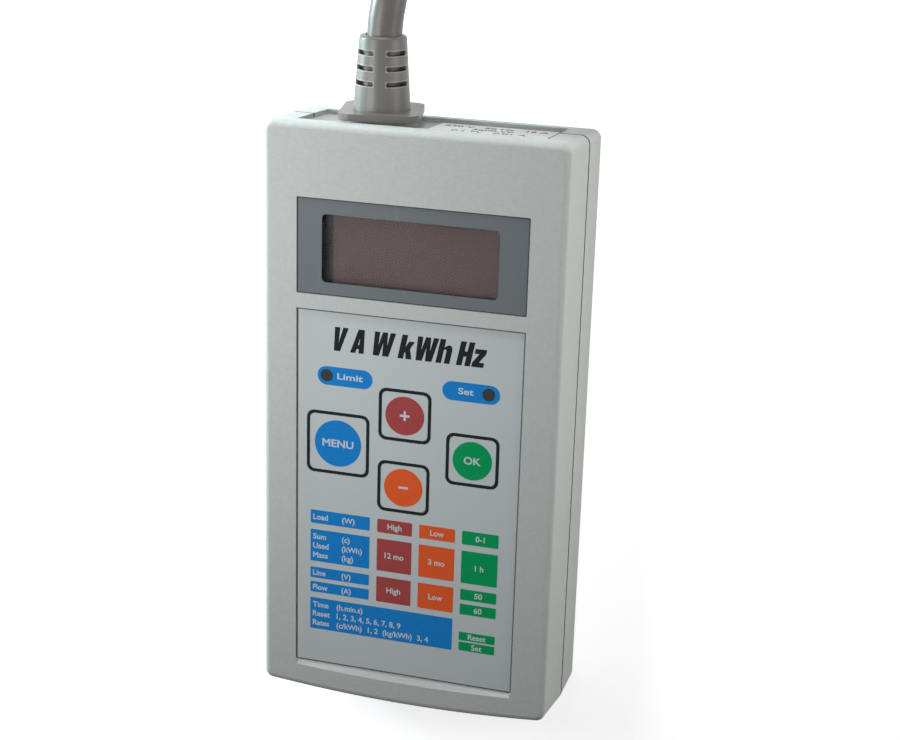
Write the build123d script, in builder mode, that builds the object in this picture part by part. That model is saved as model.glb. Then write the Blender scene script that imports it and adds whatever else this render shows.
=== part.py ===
from build123d import *
import os
from math import cos, pi, radians, sin, sqrt, tan

# A hand-held mains energy monitor, lying on its back. +Y points to the end that the cord leaves,
# +Z out of the front face, and the origin is near the middle of the back. Sizes are in millimetres.

os.makedirs("parts", exist_ok=True)

# Case
case_width = 99.4
case_length = 194.6
case_depth = 41.0
split_height = 18.2
side_draft = radians(2.5)
end_slope = radians(3.4)
foot_slope = radians(7.2)
foot_inset = 1.0
foot_bow = 2.4
corner_radius = 3.0
front_edge_radius = 2.0
rear_edge_radius = 2.0
wall = 2.6
front_wall = 3.0
rear_wall = 2.6
part_line_gap = 0.8
tongue_height = 2.2
fit_gap = 0.1
cut_overrun = 2.0

# Display and keypad recesses in the front face
panel_width = 75.0
display_end_margin = 23.4
display_height = 31.1
recess_gap = 4.8
foot_margin = 11.7
display_recess_depth = 1.0
keypad_recess_depth = 0.9
keypad_lip = 1.6
keypad_lip_bow = 1.2
recess_corner_radius = 0.4
plate_gap = 0.15
plate_thickness = 0.6
window_width = 57.3
window_height = 22.0
window_shift_x = -0.6
window_shift_y = -0.4
window_corner_radius = 1.5
pane_margin = 1.6
pane_thickness = 1.5

# Keypad: places are measured from the middle and the cord end of the keypad recess
film_thickness = 0.3
key_gap = 0.15
key_corner_radius = 2.0
key_travel = 0.5
small_key = 15.6
large_key = 19.4
enter_key_x = 21.7
mode_key_x = -23.3
arrow_key_x = -0.95
key_row_drop = 44.4
arrow_key_spread = 12.25
lamp_drop = 21.7
lamp_left_x = -27.3
lamp_right_x = 26.3
lamp_window_diameter = 4.1
lamp_diameter = 3.0
lamp_flange_diameter = 3.8
lamp_flange_height = 1.0
plunger_clearance = 0.35
plunger_head_height = 2.2
switch_side = 12.0
switch_height = 3.4
switch_stem_radius = 3.0
switch_stem_entry = 0.6

# Openings and posts
end_opening_width = 80.4
end_rim_front = 7.2
end_rim_rear = 6.0
end_panel_recess = 1.4
end_panel_thickness = 2.0
end_panel_tab = 1.8
end_wall_lip = 1.6
label_width = 38.0
label_x = 18.6
label_margin = 1.4
label_thickness = 0.2
post_radius = 3.8
post_wall_inset = 3.3
post_end_inset = 9.5
screw_radius = 1.5
screw_gap = 0.05
screw_head_radius = 2.8
screw_head_height = 2.0
counterbore_depth = 6.0
counterbore_gap = 0.4
screw_grip = 8.0
drive_depth = 1.0
drive_sides = 6

# Boards
board_thickness = 1.6
board_edge_gap = 1.0
main_board_drop = 7.4
power_board_lift = 4.4
boss_radius = 3.0
board_screw_radius = 1.1
board_screw_head_radius = 2.1
board_screw_head_height = 1.4
board_screw_grip = 4.0
main_boss_x_share = 0.43
main_boss_y_shares = (-0.46, -0.15)
main_boss_display_gap = 1.0
power_boss_x_share = 0.44
power_boss_y_shares = (-0.47, 0.0, 0.47)

# Display module
lcd_frame_width = 74.0
lcd_frame_height = 30.0
lcd_frame_lip = 0.6
lcd_view_width = 58.5
lcd_view_height = 23.2
lcd_glass_width = 66.6
lcd_glass_height = 27.0
lcd_glass_thickness = 2.6
lcd_diffuser_thickness = 1.2
lcd_board_width = 76.0
lcd_board_height = 32.0
lcd_spacer_radius = 2.2
lcd_header_width = 40.6
lcd_header_depth = 2.5
lcd_edge_inset = 2.8

# Chips under the main board, placed by shares of the board
chip_edge_share = 1 / 6
microcontroller_corner_share = 1 / 12
microcontroller_shares = (-0.05, -0.3)
microcontroller_side = 14.0
microcontroller_height = 2.2
memory_chip_shares = (0.22, -0.28)
memory_chip_width = 5.0
memory_chip_length = 6.2
memory_chip_height = 1.8
crystal_shares = (-0.28, -0.3)
crystal_length = 11.0
crystal_width = 4.6
crystal_height = 2.4

# Parts on the power board, placed by shares of the board
transformer_shares = (-0.2, -0.28)
transformer_clearance = 2.4
core_stack = 14.0
core_legs_across = 6
capacitor_shares = ((0.3, -0.36), (0.3, -0.24))
capacitor_radius = 5.0
capacitor_edge_share = 1 / 8
capacitor_clearance = 6.4
rectifier_shares = (0.14, -0.14)
rectifier_side = 8.0
rectifier_height = 5.0
regulator_shares = (0.27, -0.02)
regulator_width = 10.0
regulator_depth = 4.5
regulator_tab = 1.4
regulator_clearance = 5.0
regulator_body_share = 0.58
shunt_shares = (-0.3, 0.02)
shunt_radius = 0.9
shunt_height = 7.0
shunt_span = 20.0
sense_resistor_shares = (-0.1, 0.1)
resistor_radius = 1.2
resistor_length = 6.5
resistor_pitch_radius = 1.9
resistor_count = 4
varistor_shares = (0.18, 0.12)
varistor_radius = 5.5
varistor_thickness = 4.0
fuse_shares = (0.4, 0.2)
fuse_radius = 2.6
fuse_length = 20.0
clip_base = 1.2
clip_length = 5.0
clip_wall = 0.6
measuring_chip_shares = (0.0, -0.02)
terminal_block_shares = (-0.2, 0.25)
terminal_pitch = 7.5
terminal_depth = 12.0
terminal_height = 13.0
terminal_screw_radius = 1.8
terminal_screw_depth = 3.5
link_shares = (0.2, 0.36)
link_width = 15.0
link_wall = 2.2
link_depth = 8.4
link_gap = 6.4
link_offset = 9.0
link_thickness = 0.9

# Strain relief and cord entry
relief_x = -17.0
relief_turn = 12.0
flange_width = 25.3
flange_height = 26.0
flange_thickness = 2.2
flange_corner_radius = 4.0
relief_length = 23.0
relief_base_radius = 9.0
relief_tip_radius = 7.4
relief_rim_radius = 1.0
relief_slot_height = 1.5
relief_slot_end_radius = 0.65
relief_sleeve = 0.8
relief_slot_places = (8.6, 13.3, 18.0)
relief_rib_width = 4.0
shank_radius = 8.0
shank_gap = 0.1
collar_radius = 11.5
collar_depth = 5.8
clip_thickness = 1.6
clip_radius = 10.0
clip_groove = 1.2
clip_opening = 12.0
shank_end_lip = 1.6

# Cord
cord_radius = 5.5
clamp_inset = 18.0
clamp_width = 8.0
clamp_arch_thickness = 2.4
clamp_ear = 8.0
clamp_ear_thickness = 2.6
clamp_block_clearance = 0.6
clamp_board_clearance = 1.1
core_radius = 1.5
core_ring_radius = 3.2
core_count = 5
core_order = (0, 1, 4, 2, 3)
core_end_gap = 0.1
core_bend_radius = 9.0

# Cord outside the case: its route to the coil, chosen by hand, in millimetres
cord_route = (
    (-17.0, 97.3, 20.0),
    (-17.0, 132.0, 20.0),
    (-15.0, 168.0, 12.4),
    (-13.5, 199.0, 6.5),
    (-13.5, 215.0, 6.5),
)
bend_run_share = 0.45
coil_radius = 58.0
coil_pitch = 12.0
coil_layer_step = 11.6
coil_layer_turns = 1.25
coil_tail_turns = 0.5
coil_tail_bulge = 2.0
coil_tail_radius = 52.0
coil_stations_per_turn = 4
coil_least_gap = 0.4
coil_gap_reach = 8

# Tie round the coil
tie_width = 7.0
tie_thickness = 0.8
tie_gap = 0.2
tie_side_gap = 0.4
tie_corner_radius = 5.0

# Pass-through plug
plug_neck_length = 14.0
plug_neck_radius = 7.4
plug_neck_base_radius = 9.6
plug_head_radius = 18.4
plug_face_inset = 13.0
plug_back_inset = 15.0
plug_edge_radius = 2.0
pin_width = 6.3
pin_thickness = 1.6
pin_length = 17.0
pin_seat = 4.0
pin_side = 6.9
pin_side_drop = 3.9
pin_earth_drop = 10.3
pin_side_turn = 60.0
socket_depth = 9.0
socket_clearance = 0.4
contact_thickness = 0.6
contact_depth = 5.0


def half_width_at(height):
    """Half width of the case: above the part line the mould draft draws it in."""
    return case_width / 2 - max(height - split_height, 0) * tan(side_draft)


def end_at(height):
    """Where the cord end of the case lies: it slopes back from the front rim."""
    return case_length / 2 - (case_depth - height) * tan(end_slope)


def foot_at(height):
    """Where the far end of the case lies at the middle of its bow: it slopes out to the part line."""
    return -case_length / 2 + foot_inset - (case_depth - max(height, split_height)) * tan(foot_slope)


def draw_plan(height, inset, end_inset):
    """Outline of the case at one height, drawn in from its sides and from its cord end."""
    half = half_width_at(height) - inset
    end = end_at(height) - end_inset
    foot = foot_at(height) + inset
    radius = max(corner_radius - inset, corner_radius / 4)
    with BuildSketch(Plane.XY.offset(height)) as plan:
        with BuildLine():
            Polyline((half, foot + foot_bow), (half, end), (-half, end), (-half, foot + foot_bow))
            ThreePointArc((-half, foot + foot_bow), (0, foot), (half, foot + foot_bow))
        make_face()
        fillet(plan.vertices(), radius)
    return plan.sketch


def draw_case_block(low, high, inset, end_inset, mode=Mode.ADD):
    """Solid between two heights whose walls follow the outside of the case."""
    ends = [draw_plan(low, inset, end_inset), draw_plan(high, inset, end_inset)]
    loft(sections=ends, ruled=True, mode=mode)


# Heights of the faces that the pieces sit on
end_wall = end_panel_recess + end_panel_thickness + end_wall_lip
front_inner = case_depth - front_wall
display_floor = case_depth - display_recess_depth
keypad_floor = case_depth - keypad_recess_depth
main_board_top = front_inner - main_board_drop
main_board_bottom = main_board_top - board_thickness
power_board_bottom = rear_wall + power_board_lift
power_board_top = power_board_bottom + board_thickness
switch_top = main_board_top + switch_height
relief_z = main_board_bottom - clamp_board_clearance - clamp_arch_thickness - cord_radius

# Heights of what fills the space between the boards
board_space = main_board_bottom - power_board_top
core_leg_width = (board_space - transformer_clearance) / 3
capacitor_height = board_space - capacitor_clearance
regulator_height = regulator_body_share * (board_space - regulator_clearance)
regulator_tab_height = board_space - regulator_clearance - regulator_height
link_height = (board_space - link_gap) / 2

# Places on the front face
display_y = case_length / 2 - display_end_margin - display_height / 2
keypad_end_y = case_length / 2 - display_end_margin - display_height - recess_gap
keypad_foot_y = -case_length / 2 + foot_margin
keypad_height = keypad_end_y - keypad_foot_y
keypad_y = (keypad_end_y + keypad_foot_y) / 2
window_y = display_y + window_shift_y
key_row_y = keypad_end_y - key_row_drop
lamp_y = keypad_end_y - lamp_drop
keys = {
    "mode": (mode_key_x, key_row_y, large_key),
    "plus": (arrow_key_x, key_row_y + arrow_key_spread, small_key),
    "minus": (arrow_key_x, key_row_y - arrow_key_spread, small_key),
    "enter": (enter_key_x, key_row_y, small_key),
}
lamp_places = [(lamp_left_x, lamp_y), (lamp_right_x, lamp_y)]

# Posts for the case screws, and the plane of the cord end
post_x = case_width / 2 - wall - post_wall_inset
post_end_y = end_at(0) - end_wall - post_end_inset
post_foot_y = -case_length / 2 + wall + post_end_inset
post_places = [(x, y) for x in (-post_x, post_x) for y in (post_foot_y, post_end_y)]
end_plane = Plane(
    origin=(0, end_at(split_height), split_height),
    x_dir=(-1, 0, 0),
    z_dir=(0, cos(end_slope), -sin(end_slope)),
)
end_opening_above = case_depth - split_height - end_rim_front
end_opening_below = split_height - end_rim_rear
end_opening_height = end_opening_above + end_opening_below
end_opening_centre = (end_opening_above - end_opening_below) / 2

# Boards and where they are screwed down
main_board_width = 2 * (post_x - post_radius - board_edge_gap)
main_board_length = post_end_y - post_foot_y
main_board_y = (post_end_y + post_foot_y) / 2
main_boss_x = main_boss_x_share * main_board_width
main_boss_drop = lcd_board_height / 2 + boss_radius + main_boss_display_gap
main_boss_rows = [main_board_y + share * main_board_length for share in main_boss_y_shares]
main_boss_rows += [window_y - main_boss_drop, window_y + main_boss_drop]
main_boss_places = [(x, y) for x in (-main_boss_x, main_boss_x) for y in main_boss_rows]
power_board_end_y = end_at(0) - end_wall - clamp_inset - clamp_width / 2 - board_edge_gap
power_board_length = power_board_end_y - post_foot_y
power_board_y = (power_board_end_y + post_foot_y) / 2
power_boss_x = power_boss_x_share * main_board_width
power_boss_places = [
    (x, power_board_y + share * power_board_length)
    for x in (-power_boss_x, power_boss_x)
    for share in power_boss_y_shares
]


def on_power_board(shares):
    """Place on the power board that a pair of shares of its size gives."""
    return (shares[0] * main_board_width, power_board_y + shares[1] * power_board_length)


def on_main_board(shares):
    """Place on the main board that a pair of shares of its size gives."""
    return (shares[0] * main_board_width, main_board_y + shares[1] * main_board_length)


def draw_screws(places, seat, direction, shank, length, head, head_height):
    """Pan head screws: seat is the height under the head, and the shank points along direction."""
    for x, y in places:
        base = Plane(origin=(x, y, seat), x_dir=(1, 0, 0), z_dir=(0, 0, direction))
        with BuildSketch(base) as shank_section:
            Circle(shank)
        extrude(shank_section.sketch, amount=length)
        with BuildSketch(base) as head_section:
            Circle(head)
        extrude(head_section.sketch, amount=-head_height)
        with BuildSketch(base.offset(-head_height)) as drive_section:
            RegularPolygon(head / 2, drive_sides)
        extrude(drive_section.sketch, amount=head_height / 2, mode=Mode.SUBTRACT)


# Strain relief and sheath places
relief_seat_y = case_length / 2
relief_plane = Plane(
    origin=(relief_x, relief_seat_y, relief_z),
    x_dir=(cos(radians(relief_turn)), 0, -sin(radians(relief_turn))),
    z_dir=(0, 1, 0),
)
relief_end = flange_thickness + relief_length
clamp_y = end_at(0) - end_wall - clamp_inset
sheath_end_y = clamp_y - clamp_width / 2 - board_edge_gap
clamp_seat_z = relief_z - clamp_block_clearance
clamp_half_width = cord_radius + clamp_ear
clamp_screw_x = cord_radius + clamp_arch_thickness + board_screw_head_radius + fit_gap
clamp_screw_places = [(relief_x - clamp_screw_x, clamp_y), (relief_x + clamp_screw_x, clamp_y)]
sheath_plane = Plane(origin=(relief_x, relief_seat_y, relief_z), x_dir=(1, 0, 0), z_dir=(0, -1, 0))


def draw_lip():
    """Two outlines of the sloping lip at the foot of the keypad recess, bowed where it meets the face."""
    half = panel_width / 2 - recess_corner_radius
    lip_end_y = keypad_foot_y - keypad_lip
    with BuildSketch(Plane.XY.offset(keypad_floor)) as low:
        with Locations((0, keypad_foot_y + keypad_lip / 2)):
            Rectangle(2 * half, keypad_lip)
    with BuildSketch(Plane.XY.offset(case_depth)) as high:
        with BuildLine():
            Polyline(
                (half, lip_end_y),
                (half, keypad_foot_y + keypad_lip),
                (-half, keypad_foot_y + keypad_lip),
                (-half, lip_end_y),
            )
            ThreePointArc((-half, lip_end_y), (0, lip_end_y - keypad_lip_bow), (half, lip_end_y))
        make_face()
    return [low.sketch, high.sketch]


# Rear shell: floor, walls, tongue, posts, board bosses and the block under the cord sheath
with BuildPart() as rear_shell:
    draw_case_block(0, split_height, 0, 0)
    fillet(rear_shell.faces().sort_by(Axis.Z)[0].edges(), rear_edge_radius)
    draw_case_block(split_height, split_height + tongue_height, wall / 2 + fit_gap, wall / 2 + fit_gap)
    draw_case_block(rear_wall, split_height + tongue_height, wall, end_wall, Mode.SUBTRACT)
    with BuildSketch(Plane.XY.offset(rear_wall)):
        with Locations(post_places):
            Circle(post_radius)
    extrude(amount=split_height - rear_wall)
    with BuildSketch(Plane.XY.offset(rear_wall)):
        with Locations(power_boss_places):
            Circle(boss_radius)
    extrude(amount=power_board_lift)
    with BuildSketch(Plane.XY.offset(rear_wall)):
        with Locations((relief_x, clamp_y)):
            Rectangle(2 * clamp_half_width, clamp_width)
    extrude(amount=clamp_seat_z - rear_wall)
    with BuildSketch(sheath_plane):
        Circle(cord_radius)
    extrude(amount=relief_seat_y - sheath_end_y, mode=Mode.SUBTRACT)
    with BuildSketch(Plane.XY.offset(split_height)):
        with Locations(post_places):
            Circle(post_radius + fit_gap)
    extrude(amount=tongue_height + cut_overrun, mode=Mode.SUBTRACT)
    with Locations([(x, y, 0) for x, y in post_places]):
        Cylinder(
            screw_head_radius + counterbore_gap,
            counterbore_depth,
            align=(Align.CENTER, Align.CENTER, Align.MIN),
            mode=Mode.SUBTRACT,
        )
        Cylinder(
            screw_radius + screw_gap,
            split_height + cut_overrun,
            align=(Align.CENTER, Align.CENTER, Align.MIN),
            mode=Mode.SUBTRACT,
        )
    with BuildSketch(Plane.XY.offset(rear_wall + power_board_lift)):
        with Locations(power_boss_places):
            Circle(board_screw_radius + screw_gap)
    extrude(amount=-(board_screw_grip + screw_gap), mode=Mode.SUBTRACT)
    with BuildSketch(Plane.XY.offset(clamp_seat_z)):
        with Locations(clamp_screw_places):
            Circle(board_screw_radius + screw_gap)
    extrude(amount=-(board_screw_grip + screw_gap), mode=Mode.SUBTRACT)
    with BuildSketch(end_plane):
        with Locations((0, end_opening_centre)):
            Rectangle(end_opening_width, end_opening_height)
    extrude(amount=cut_overrun, mode=Mode.SUBTRACT)
    with BuildSketch(end_plane):
        with Locations((0, end_opening_centre)):
            Rectangle(end_opening_width, end_opening_height)
    extrude(amount=-(end_wall + cut_overrun), mode=Mode.SUBTRACT)
    with BuildSketch(end_plane.offset(-end_panel_recess)):
        with Locations((0, end_opening_centre)):
            Rectangle(end_opening_width + 2 * end_panel_tab, end_opening_height + 2 * end_panel_tab)
    extrude(amount=-(end_panel_thickness + fit_gap), mode=Mode.SUBTRACT)
    with BuildSketch(relief_plane):
        Circle(collar_radius + fit_gap)
    extrude(amount=-(collar_depth + clip_thickness), mode=Mode.SUBTRACT)
rear_shell.part.label = "rear_shell"
export_step(rear_shell.part, "parts/rear_shell.step")

# Front shell: walls, recesses, window and key holes, posts and board bosses
with BuildPart() as front_shell:
    draw_case_block(split_height + part_line_gap, case_depth, 0, 0)
    fillet(front_shell.faces().sort_by(Axis.Z)[-1].edges(), front_edge_radius)
    draw_case_block(split_height, front_inner, wall, end_wall, Mode.SUBTRACT)
    draw_case_block(
        split_height, split_height + tongue_height + fit_gap, wall / 2, wall / 2, Mode.SUBTRACT
    )
    with BuildSketch(Plane.XY.offset(split_height)):
        with Locations(post_places):
            Circle(post_radius)
    extrude(amount=front_inner - split_height)
    with BuildSketch(Plane.XY.offset(main_board_top)):
        with Locations(main_boss_places):
            Circle(boss_radius)
    extrude(amount=main_board_drop)
    with BuildSketch(Plane.XY.offset(split_height)):
        with Locations(post_places):
            Circle(screw_radius + screw_gap)
    extrude(amount=screw_grip + screw_gap, mode=Mode.SUBTRACT)
    with BuildSketch(Plane.XY.offset(main_board_top)):
        with Locations(main_boss_places):
            Circle(board_screw_radius + screw_gap)
    extrude(amount=board_screw_grip + screw_gap, mode=Mode.SUBTRACT)
    with BuildSketch(Plane.XY.offset(display_floor)):
        with Locations((0, display_y)):
            RectangleRounded(panel_width, display_height, recess_corner_radius)
    extrude(amount=display_recess_depth, mode=Mode.SUBTRACT)
    with BuildSketch(Plane.XY.offset(keypad_floor)):
        with Locations((0, keypad_y)):
            RectangleRounded(panel_width, keypad_height, recess_corner_radius)
    extrude(amount=keypad_recess_depth, mode=Mode.SUBTRACT)
    loft(sections=draw_lip(), ruled=True, mode=Mode.SUBTRACT)
    with BuildSketch(Plane.XY.offset(front_inner)):
        with Locations((window_shift_x, window_y)):
            RectangleRounded(
                window_width + 2 * pane_margin, window_height + 2 * pane_margin, window_corner_radius
            )
        for key_x, key_y, key_side in keys.values():
            with Locations((key_x, key_y)):
                RectangleRounded(key_side, key_side, key_corner_radius)
        with Locations(lamp_places):
            Circle(lamp_diameter / 2 + fit_gap)
    extrude(amount=front_wall, mode=Mode.SUBTRACT)
    with BuildSketch(end_plane):
        with Locations((0, end_opening_centre)):
            Rectangle(end_opening_width, end_opening_height)
    extrude(amount=cut_overrun, mode=Mode.SUBTRACT)
    with BuildSketch(end_plane):
        with Locations((0, end_opening_centre)):
            Rectangle(end_opening_width, end_opening_height)
    extrude(amount=-(end_wall + cut_overrun), mode=Mode.SUBTRACT)
    with BuildSketch(end_plane.offset(-end_panel_recess)):
        with Locations((0, end_opening_centre)):
            Rectangle(end_opening_width + 2 * end_panel_tab, end_opening_height + 2 * end_panel_tab)
    extrude(amount=-(end_panel_thickness + fit_gap), mode=Mode.SUBTRACT)
    with BuildSketch(relief_plane):
        Circle(collar_radius + fit_gap)
    extrude(amount=-(collar_depth + clip_thickness), mode=Mode.SUBTRACT)
front_shell.part.label = "front_shell"
export_step(front_shell.part, "parts/front_shell.step")

# Case screws, in counterbores in the back
with BuildPart() as case_screws:
    draw_screws(
        post_places,
        counterbore_depth,
        1,
        screw_radius,
        split_height - counterbore_depth + screw_grip,
        screw_head_radius,
        screw_head_height,
    )
case_screws.part.label = "case_screws"
export_step(case_screws.part, "parts/case_screws.step")

# End panel with the collar that the strain relief is seated on
with BuildPart() as end_panel:
    with BuildSketch(end_plane.offset(-end_panel_recess)):
        with Locations((0, end_opening_centre)):
            Rectangle(
                end_opening_width + 2 * (end_panel_tab - fit_gap),
                end_opening_height + 2 * (end_panel_tab - fit_gap),
            )
    extrude(amount=-end_panel_thickness)
    with BuildSketch(relief_plane):
        Circle(collar_radius)
    extrude(amount=-collar_depth)
    with BuildSketch(relief_plane):
        Circle(shank_radius + shank_gap)
    extrude(amount=-(collar_depth + cut_overrun), mode=Mode.SUBTRACT)
end_panel.part.label = "end_panel"
export_step(end_panel.part, "parts/end_panel.step")

# Label on the end panel, beside the cord entry
with BuildPart() as end_label:
    with BuildSketch(end_plane.offset(-end_panel_recess)):
        with Locations((-label_x, end_opening_centre)):
            Rectangle(label_width, end_opening_height - 2 * label_margin)
    extrude(amount=label_thickness)
end_label.part.label = "end_label"
export_step(end_label.part, "parts/end_label.step")

# Display plate, with the window opening
with BuildPart() as display_plate:
    with BuildSketch(Plane.XY.offset(display_floor)):
        with Locations((0, display_y)):
            RectangleRounded(
                panel_width - 2 * plate_gap, display_height - 2 * plate_gap, recess_corner_radius
            )
        with Locations((window_shift_x, window_y)):
            RectangleRounded(window_width, window_height, window_corner_radius, mode=Mode.SUBTRACT)
    extrude(amount=plate_thickness)
display_plate.part.label = "display_plate"
export_step(display_plate.part, "parts/display_plate.step")

# Clear window, held against the back of the display plate
with BuildPart() as window_pane:
    with BuildSketch(Plane.XY.offset(display_floor)):
        with Locations((window_shift_x, window_y)):
            RectangleRounded(
                window_width + 2 * (pane_margin - fit_gap),
                window_height + 2 * (pane_margin - fit_gap),
                window_corner_radius,
            )
    extrude(amount=-pane_thickness)
window_pane.part.label = "window_pane"
export_step(window_pane.part, "parts/window_pane.step")

# Keypad overlay film, with its keys cut free and two lamp holes
with BuildPart() as overlay_film:
    with BuildSketch(Plane.XY.offset(keypad_floor)):
        with Locations((0, keypad_y)):
            RectangleRounded(
                panel_width - 2 * plate_gap, keypad_height - 2 * plate_gap, recess_corner_radius
            )
        for key_x, key_y, key_side in keys.values():
            with Locations((key_x, key_y)):
                RectangleRounded(key_side, key_side, key_corner_radius, mode=Mode.SUBTRACT)
        with Locations(lamp_places):
            Circle(lamp_window_diameter / 2 + fit_gap, mode=Mode.SUBTRACT)
    extrude(amount=film_thickness)
overlay_film.part.label = "overlay_film"
export_step(overlay_film.part, "parts/overlay_film.step")

# Keys of the film, and the plunger under each one down to its switch
for key_name, (key_x, key_y, key_side) in keys.items():
    with BuildPart() as key_cap:
        with BuildSketch(Plane.XY.offset(keypad_floor)):
            with Locations((key_x, key_y)):
                RectangleRounded(
                    key_side - 2 * key_gap, key_side - 2 * key_gap, key_corner_radius - key_gap
                )
        extrude(amount=film_thickness)
    key_cap.part.label = f"key_{key_name}"
    export_step(key_cap.part, f"parts/key_{key_name}.step")
    with BuildPart() as plunger:
        with BuildSketch(Plane.XY.offset(keypad_floor)):
            with Locations((key_x, key_y)):
                RectangleRounded(
                    key_side - 2 * plunger_clearance,
                    key_side - 2 * plunger_clearance,
                    key_corner_radius - plunger_clearance,
                )
        extrude(amount=-plunger_head_height)
        with BuildSketch(Plane.XY.offset(keypad_floor - plunger_head_height)):
            with Locations((key_x, key_y)):
                Circle(switch_stem_radius)
        extrude(amount=-(keypad_floor - plunger_head_height - switch_top + switch_stem_entry))
    plunger.part.label = f"plunger_{key_name}"
    export_step(plunger.part, f"parts/plunger_{key_name}.step")

# Tact switches under the keys
with BuildPart() as tact_switches:
    for key_x, key_y, key_side in keys.values():
        with BuildSketch(Plane.XY.offset(main_board_top)):
            with Locations((key_x, key_y)):
                RectangleRounded(switch_side, switch_side, recess_corner_radius)
        extrude(amount=switch_height)
        with BuildSketch(Plane.XY.offset(switch_top)):
            with Locations((key_x, key_y)):
                Circle(switch_stem_radius + plunger_clearance)
        extrude(amount=-(switch_stem_entry + key_travel + plunger_clearance), mode=Mode.SUBTRACT)
tact_switches.part.label = "tact_switches"
export_step(tact_switches.part, "parts/tact_switches.step")

# Status lamps on the main board, and the dark windows over them
with BuildPart() as status_lamps:
    for lamp_x, lamp_row in lamp_places:
        with BuildSketch(Plane.XY.offset(main_board_top)):
            with Locations((lamp_x, lamp_row)):
                Circle(lamp_flange_diameter / 2)
        extrude(amount=front_inner - main_board_top - lamp_flange_height)
        with BuildSketch(Plane.XY.offset(front_inner - lamp_flange_height)):
            with Locations((lamp_x, lamp_row)):
                Circle(lamp_diameter / 2)
        extrude(amount=keypad_floor - fit_gap - front_inner + lamp_flange_height)
    fillet(
        status_lamps.faces().filter_by(Plane.XY).group_by(Axis.Z)[-1].edges(), lamp_diameter / 4
    )
status_lamps.part.label = "status_lamps"
export_step(status_lamps.part, "parts/status_lamps.step")

with BuildPart() as lamp_windows:
    with BuildSketch(Plane.XY.offset(keypad_floor)):
        with Locations(lamp_places):
            Circle(lamp_window_diameter / 2)
    extrude(amount=film_thickness)
lamp_windows.part.label = "lamp_windows"
export_step(lamp_windows.part, "parts/lamp_windows.step")

# Display module: metal frame, glass, light diffuser, its own board, spacers and pin strip
lcd_board_top = front_inner - lcd_frame_lip - lcd_glass_thickness - lcd_diffuser_thickness
lcd_board_bottom = lcd_board_top - board_thickness
lcd_spacer_places = [
    (
        window_shift_x + side_x * (lcd_board_width / 2 - lcd_edge_inset),
        window_y + side_y * (lcd_board_height / 2 - lcd_edge_inset),
    )
    for side_x in (-1, 1)
    for side_y in (-1, 1)
]
with BuildPart() as lcd_frame:
    with BuildSketch(Plane.XY.offset(lcd_board_top)):
        with Locations((window_shift_x, window_y)):
            Rectangle(lcd_frame_width, lcd_frame_height)
    extrude(amount=front_inner - lcd_board_top)
    with BuildSketch(Plane.XY.offset(lcd_board_top)):
        with Locations((window_shift_x, window_y)):
            Rectangle(lcd_glass_width + 2 * fit_gap, lcd_glass_height + 2 * fit_gap)
    extrude(amount=front_inner - lcd_board_top - lcd_frame_lip, mode=Mode.SUBTRACT)
    with BuildSketch(Plane.XY.offset(front_inner)):
        with Locations((window_shift_x, window_y)):
            Rectangle(lcd_view_width, lcd_view_height)
    extrude(amount=-lcd_frame_lip, mode=Mode.SUBTRACT)
lcd_frame.part.label = "lcd_frame"
export_step(lcd_frame.part, "parts/lcd_frame.step")

with BuildPart() as lcd_glass:
    with BuildSketch(Plane.XY.offset(lcd_board_top + lcd_diffuser_thickness)):
        with Locations((window_shift_x, window_y)):
            Rectangle(lcd_glass_width, lcd_glass_height)
    extrude(amount=lcd_glass_thickness)
lcd_glass.part.label = "lcd_glass"
export_step(lcd_glass.part, "parts/lcd_glass.step")

with BuildPart() as lcd_diffuser:
    with BuildSketch(Plane.XY.offset(lcd_board_top)):
        with Locations((window_shift_x, window_y)):
            Rectangle(lcd_glass_width, lcd_glass_height)
    extrude(amount=lcd_diffuser_thickness)
lcd_diffuser.part.label = "lcd_diffuser"
export_step(lcd_diffuser.part, "parts/lcd_diffuser.step")

with BuildPart() as lcd_board:
    with BuildSketch(Plane.XY.offset(lcd_board_bottom)):
        with Locations((window_shift_x, window_y)):
            Rectangle(lcd_board_width, lcd_board_height)
    extrude(amount=board_thickness)
lcd_board.part.label = "lcd_board"
export_step(lcd_board.part, "parts/lcd_board.step")

with BuildPart() as lcd_spacers:
    with BuildSketch(Plane.XY.offset(main_board_top)):
        with Locations(lcd_spacer_places):
            Circle(lcd_spacer_radius)
    extrude(amount=lcd_board_bottom - main_board_top)
lcd_spacers.part.label = "lcd_spacers"
export_step(lcd_spacers.part, "parts/lcd_spacers.step")

with BuildPart() as lcd_pin_header:
    with BuildSketch(Plane.XY.offset(main_board_top)):
        with Locations((window_shift_x, window_y + lcd_board_height / 2 - lcd_edge_inset)):
            Rectangle(lcd_header_width, lcd_header_depth)
    extrude(amount=lcd_board_bottom - main_board_top)
lcd_pin_header.part.label = "lcd_pin_header"
export_step(lcd_pin_header.part, "parts/lcd_pin_header.step")

# Main board, its screws and the chips under it
with BuildPart() as main_board:
    with BuildSketch(Plane.XY.offset(main_board_bottom)):
        with Locations((0, main_board_y)):
            Rectangle(main_board_width, main_board_length)
        with Locations(main_boss_places):
            Circle(board_screw_radius + screw_gap, mode=Mode.SUBTRACT)
    extrude(amount=board_thickness)
main_board.part.label = "main_board"
export_step(main_board.part, "parts/main_board.step")

with BuildPart() as main_board_screws:
    draw_screws(
        main_boss_places,
        main_board_bottom,
        1,
        board_screw_radius,
        board_thickness + board_screw_grip,
        board_screw_head_radius,
        board_screw_head_height,
    )
main_board_screws.part.label = "main_board_screws"
export_step(main_board_screws.part, "parts/main_board_screws.step")

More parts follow.
